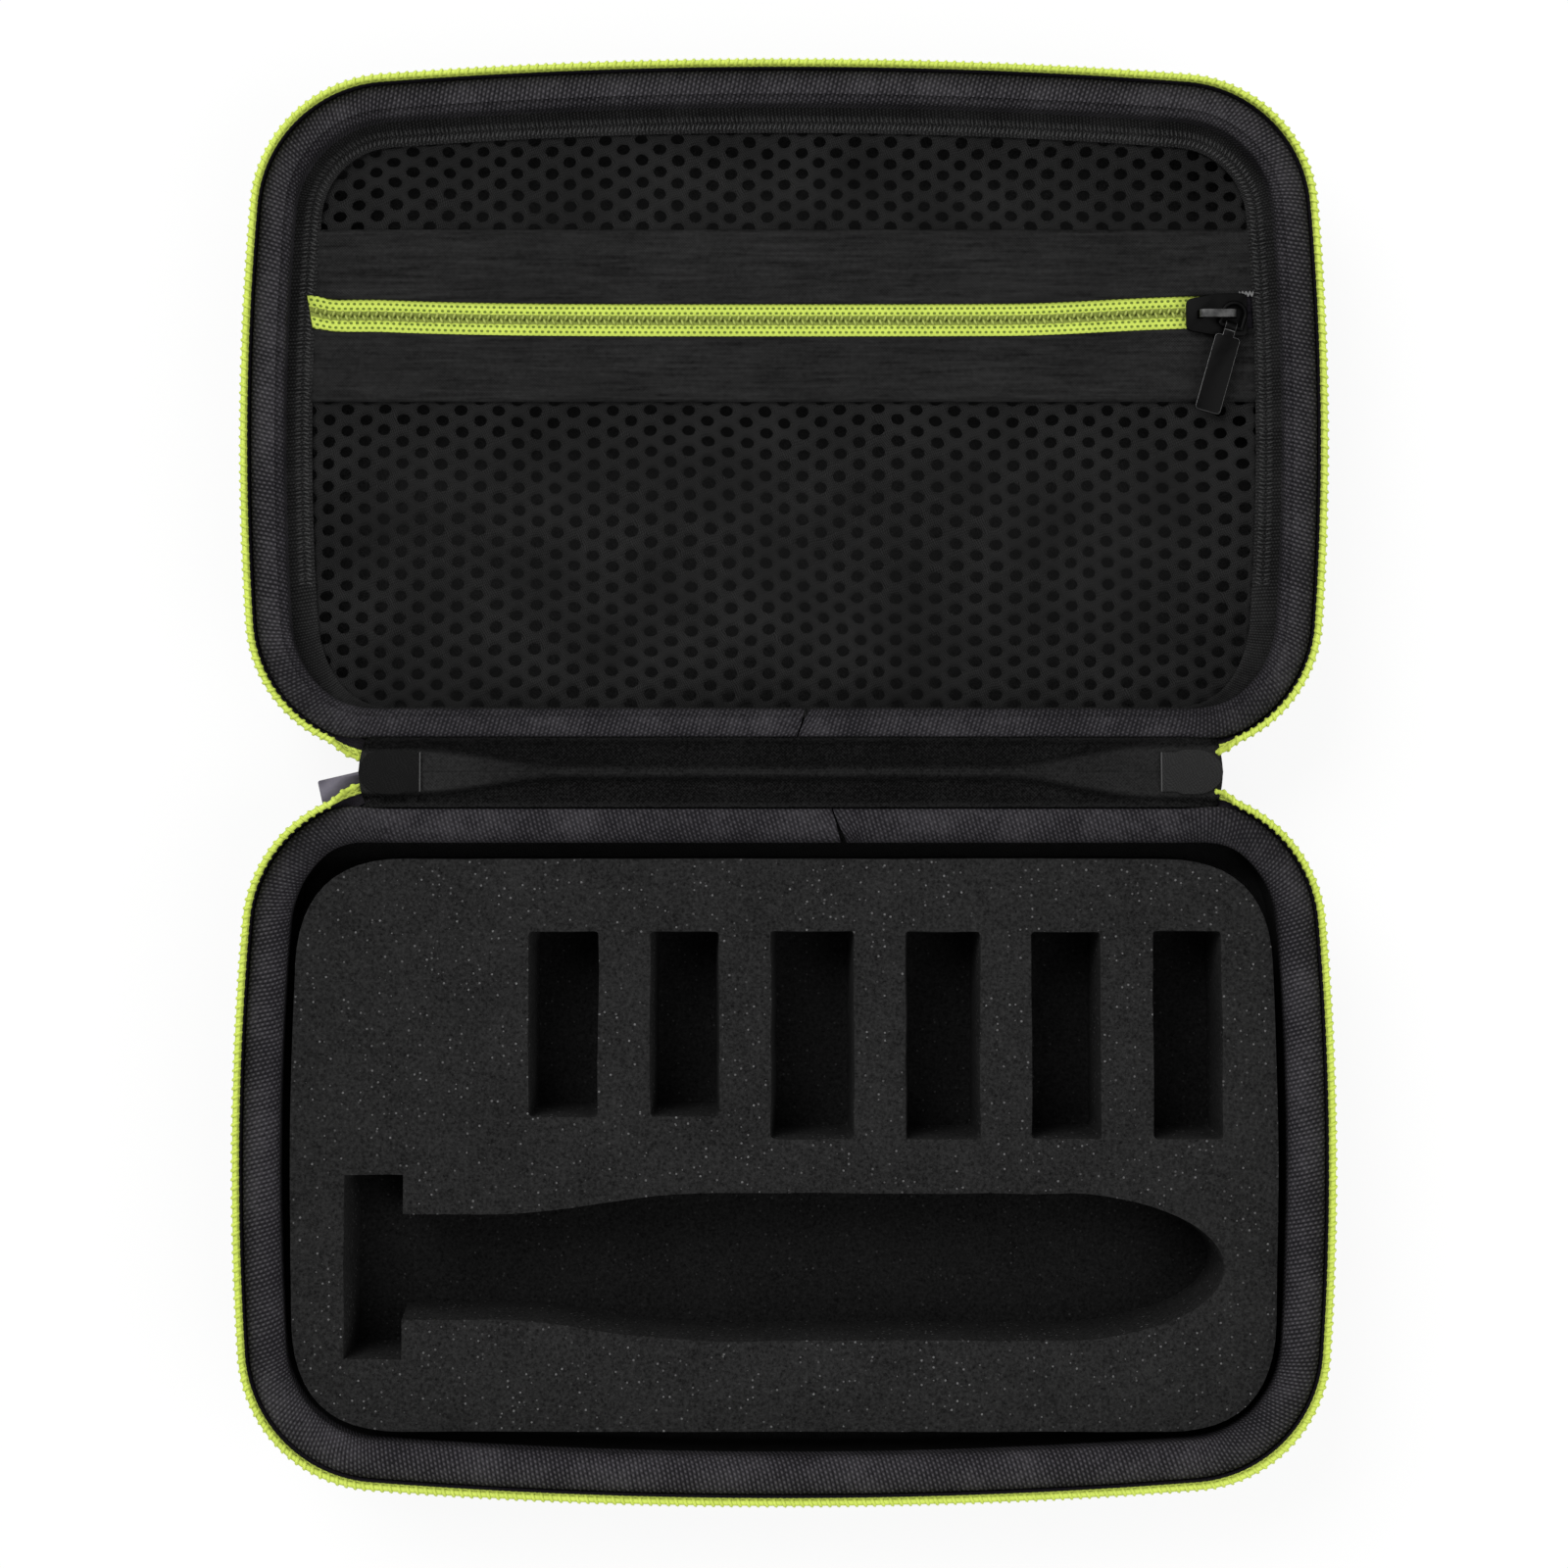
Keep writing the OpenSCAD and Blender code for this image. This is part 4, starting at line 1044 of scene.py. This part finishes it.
FAR_LOW, NEAR_HIGH = CHAIN_Y + BAND_OFF, CHAIN_Y - BAND_OFF
FAR_HIGH, NEAR_LOW = FAR_LOW + BAND_W, NEAR_HIGH - BAND_W
NET_FRONT = RIM_GAP / 2 + HALF_D - BORDER_IN + BAND_LAP
NET_REAR = RIM_GAP / 2 + BORDER_IN - SPINE_SIDE - BAND_LAP
net_panel("net_far", FAR_HIGH - LAP, NET_FRONT, "pocket_net_upper", 7.05)
net_panel("net_near", NET_REAR, NEAR_LOW + LAP, "pocket_net_lower", 7.5)
cloth_band("band_far", FAR_LOW, FAR_HIGH, "pocket_band_upper", -1)
cloth_band("band_near", NEAR_LOW, NEAR_HIGH, "pocket_band_lower", 1)

POCKET_COIL_W, POCKET_COIL_H, POCKET_COIL_OFF, POCKET_WIRE, POCKET_LEAN = 0.64, 0.5, 0.44, 0.24, 0.3


def pocket_zip_half(end, side, place):
    """One tape of the closed pocket zip, and its coil."""
    near, far = 0.06, BAND_OFF + 1.2
    bm = grid(90, 6)
    left, right = -CHAIN_X - LAP - 2.6, CHAIN_X + LAP + 1.0
    for v in bm.verts:
        x, across = left + (v.co.x + 0.5) * (right - left), v.co.y + 0.5
        off = side * (near + across * (far - near - eased_by(LEFT_TAPER, -x)))
        x += eased_by(LEFT_SLANT, -x) * (BAND_OFF - off)
        v.co = Vector((x, CHAIN_Y + off + sag(x), NET_Z + 0.5 + 0.12 * across + lift(x) * 1.6))
    lay_weave_by(bm, lambda at: (at.x, abs(at.y - CHAIN_Y - sag(at.x))))
    if side < 0:
        bmesh.ops.reverse_faces(bm, faces=bm.faces)
    tape = finished(f"pocket_zip_{end}_strip", bm, pocket_tape, "lid", ["pocket_zip_tape_" + place], 80)
    give_thickness(tape)
    count = math.floor((2 * CHAIN_X + 2 * LAP + 1.0) / COIL_PITCH) - 3
    places = []
    for i in range(count):
        x = left + 1.4 + (i + (0.25 if side > 0 else 0.75)) * COIL_PITCH
        at = Vector((x, CHAIN_Y + side * POCKET_COIL_OFF + sag(x), POCKET_Z + 0.45 + lift(x)))
        places.append(Matrix.Translation(at))
    bm = repeated(wire_loop(POCKET_COIL_W, POCKET_COIL_H, POCKET_WIRE, POCKET_LEAN * side), places)
    face_out(bm)
    finished(f"pocket_zip_{end}_coil", bm, pocket_coil, "lid", ["pocket_zip_teeth_" + place], 60)


pocket_zip_half("far", 1, "upper")
pocket_zip_half("near", -1, "lower")

# ---- spine

SEWN, ROUND_END = 0.3, 0.035
RIDGE_H, VALLEY_H, VALLEY_EASE, RISE_FROM, RISE_EASE, RIPPLE = 0.75, 1.15, 1.7, 4.9, 1.9, 0.3


def flat_half(x):
    """Half the width of the flat top of the spine cloth: a narrow ridge that widens to the tabs."""
    widest = FLAT_RIGHT if x > 0 else FLAT_LEFT
    return 0.5 + widest * smooth((abs(x) - FLAT_FROM) / (FLAT_TO - FLAT_FROM))


def spine_profile(x, t):
    """The y and height of the spine cloth at t from 0, sewn down behind the base rim, to 1, at the ridge."""
    drop = max(0.0, abs(x) - CORNER_X)
    recess = CORNER_R - math.sqrt(max(CORNER_R**2 - drop**2, 0.0))
    hem_y = -RIM_GAP / 2 - RIM_T - TAPE_T / 2
    if t < SEWN:
        hem_low, hem_top = SHELF_Z + 0.3, FOLD_Z + 0.25
        return hem_y - recess, hem_low + (hem_top - hem_low) * t / SEWN
    k = (t - SEWN) / (1 - SEWN)
    y = (hem_y - recess * (1 - k)) * (1 - k)
    aside = -hem_y * (1 - k)
    down = smooth((aside - flat_half(x)) / VALLEY_EASE)
    up_again = smooth((aside - RISE_FROM) / RISE_EASE)
    ripple = RIPPLE * noise.noise(Vector((x * 0.045, k * 2.2, 1.0))) * math.sin(math.pi * k)
    return y, FOLD_Z + 0.3 + RIDGE_H * (1 - down) - VALLEY_H * down * (1 - up_again) + ripple


def spine_reach(t):
    """How far along the spine the cloth reaches at t: its ends are cut round, as the tabs on them are."""
    aside = (RIM_GAP / 2 + RIM_T) * min(1.0, (1 - t) / (1 - SEWN))
    return SPINE_L / 2 - ROUND_END * aside**2


def spine_cloth(half):
    """Half the spine cloth, from behind one rim to the ridge, as a sheet."""
    bm = grid(120, 24)
    for v in bm.verts:
        t = v.co.y + 0.5
        x = v.co.x * 2 * spine_reach(t) + SPINE_SHIFT
        y, z = spine_profile(x, t)
        v.co = Vector((x, y, z))
    lay_weave_by(bm, lambda at: (at.x, min(at.y, 0.0) - max(FOLD_Z - at.z - 1.2, 0.0)))
    if half == "lid":
        over_the_spine(bm)
    cut = sum(f.calc_area() for f in bm.faces) * MM**2
    nodes = [half + "_spine_hem", "spine_strip"]
    cloth = finished("spine_cloth_" + half, bm, spine_weave, None, nodes, 80)
    flat = (SPINE_L * MM, cut / (SPINE_L * MM))
    give_thickness(cloth)
    return cloth


base_spine, lid_spine = spine_cloth("base"), spine_cloth("lid")


def end_tab(place, side, finish):
    """Stiff tab sewn over the zip's end, round outside, with a pale strip inside painted as an edge highlight."""
    end_r, pale_t, pale_h = 5.2, 0.26, 0.34
    inner, outer, low = SPINE_L / 2 - TAB_L + 0.2, SPINE_L / 2 - end_r, FOLD_Z + STRIP_T / 2
    wide, narrow = TAB_W / 2 - 0.45, TAB_W / 2 - 0.95
    neck, shoulder = inner + 2.6, inner + 4.0
    turns = [math.pi / 2 - math.pi * i / 16 for i in range(17)]
    line = [(inner, -narrow), (inner, narrow), (neck, narrow), (shoulder, wide)]
    line += [(outer + end_r * math.cos(a), wide * math.sin(a)) for a in turns] + [(shoulder, -wide), (neck, -narrow)]
    bm = raised([[(side * x + SPINE_SHIFT, y) for x, y in line]], low + 0.1, TAB_T - 0.25)
    soften(bm, 0.35, segments=3, least=0.8)
    finished(place + "_tab", bm, finish, "spine", ["zip_end_tab_" + place])
    # Painted highlight: a pale strip along the tab's inner edge.
    bm = bmesh.new()
    edge_at = Matrix.Translation((side * (inner - 0.1) + SPINE_SHIFT, 0, low + TAB_T - 0.25))
    bmesh.ops.create_cube(bm, size=1.0, matrix=edge_at @ Matrix.Diagonal((pale_t, 2 * narrow, pale_h, 1)))
    soften(bm, 0.08)
    finished(place + "_tab_edge_highlight", bm, tab_edge_highlight, "spine")


# The left tab gets the darker copy of the cloth as painted shade, the right tab the lit one.
end_tab("left", -1, shaded_tab_skin)
end_tab("right", 1, tab_skin)

# ---- sliders and pulls


def eased_copy(name, node, finish, body, width, edge_finish=None, highlight_above=0.0):
    """A copy of a hard node with its edges eased, and a painted highlight above a height where edge_finish is given.
    """
    bm = bmesh.new()
    bm.from_mesh(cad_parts[node].data)
    bm.transform(Matrix.Scale(1 / MM, 4))
    bmesh.ops.remove_doubles(bm, verts=bm.verts, dist=1e-3)
    bmesh.ops.dissolve_limit(bm, angle_limit=0.01, verts=bm.verts, edges=bm.edges)
    edges = set(soften(bm, width))
    # Painted highlight: upward faces above highlight_above, and with no height given, only the upward eased edges.
    for face in bm.faces:
        high = face.calc_center_median().z > highlight_above and face.normal.z > 0.3
        face.material_index = 1 if edge_finish and high and (highlight_above or face in edges) else 0
    made = finished(name, bm, finish, body, [node])
    if edge_finish:
        made.data.materials.append(edge_finish)


# Painted highlights: on the top of the pocket runner's bail, above BAIL_Z, and on the pull tab's upward eased edges.
BAIL_Z = POCKET_Z + 4.0
eased_copy("pocket_runner_metal", "pocket_slider", slider_black, "pocket_runner", 0.16, painted_bail_highlight, BAIL_Z)
eased_copy("pull_tab_metal", "pocket_pull_tab", pull_black, "pull_tab", 0.14, painted_edge_highlight)
eased_copy("rim_runner_metal", "rim_slider", slider_black, "spine", 0.12)
eased_copy("rim_puller_metal", "rim_puller", puller_grey, "rim_pull", 0.14)
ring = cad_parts["pocket_pull_ring"]
ring.data.materials.clear()
ring.data.materials.append(pull_black)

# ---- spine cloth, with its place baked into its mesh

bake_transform(base_spine)
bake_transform(lid_spine)

# ---- camera, floor and light

scene = bpy.context.scene
scene.view_settings.view_transform = "Standard"

lens = bpy.data.cameras.new("overhead")
lens.lens = 82.99
lens.shift_y = -0.1811
lens.clip_start, lens.clip_end = 0.05, 20.0
camera = set_out("overhead", lens)
camera.location = (0.0, 0.0, 0.7303)
camera.rotation_euler = (math.radians(4.3), 0, 0)
scene.camera = camera


def white_ground():
    """Floor that is white to the eye and in reflections, and still takes a soft shadow."""
    f = Finish("white_ground")
    seen = (f.ray("Camera") + f.ray("Glossy") + f.ray("Transmission")).clipped() * 0.88
    plain = f.add("ShaderNodeBsdfDiffuse", {}, {"Color": (0.9, 0.9, 0.9, 1)})
    white = f.add("ShaderNodeEmission", {}, {})
    return f.shown(f.add("ShaderNodeMixShader", {}, {0: seen, 1: plain, 2: white}))


def white_sky():
    """Sky that is white to the eye and dimmer as a light."""
    f = Finish("studio", bpy.data.worlds)
    dim, seen = 0.45, (f.ray("Camera") + f.ray("Transmission")).clipped()
    strength = seen * (1.0 - dim) + dim
    return f.shown(f.add("ShaderNodeBackground", {}, {"Color": (1, 1, 1, 1), "Strength": strength}), "World")


bm = bmesh.new()
bmesh.ops.create_grid(bm, x_segments=1, y_segments=1, size=3.0)
bmesh.ops.translate(bm, vec=(0, 0, -0.0002), verts=bm.verts)
ground = set_out("ground", as_mesh(bm, "ground"))
ground.data.materials.append(white_ground())
scene.world = white_sky()


def soft_box(name, at, size, watts):
    """A round lamp aimed at the middle of the case."""
    lamp = bpy.data.lights.new(name, "AREA")
    lamp.shape, lamp.size, lamp.energy = "DISK", size, watts
    lit = set_out(name, lamp)
    lit.location = at
    lit.rotation_euler = (-Vector(at)).to_track_quat("-Z", "Y").to_euler()


soft_box("key", (-0.7, 0.9, 1.6), size=1.2, watts=26)
soft_box("fill", (0.9, -0.5, 1.5), size=1.4, watts=14)
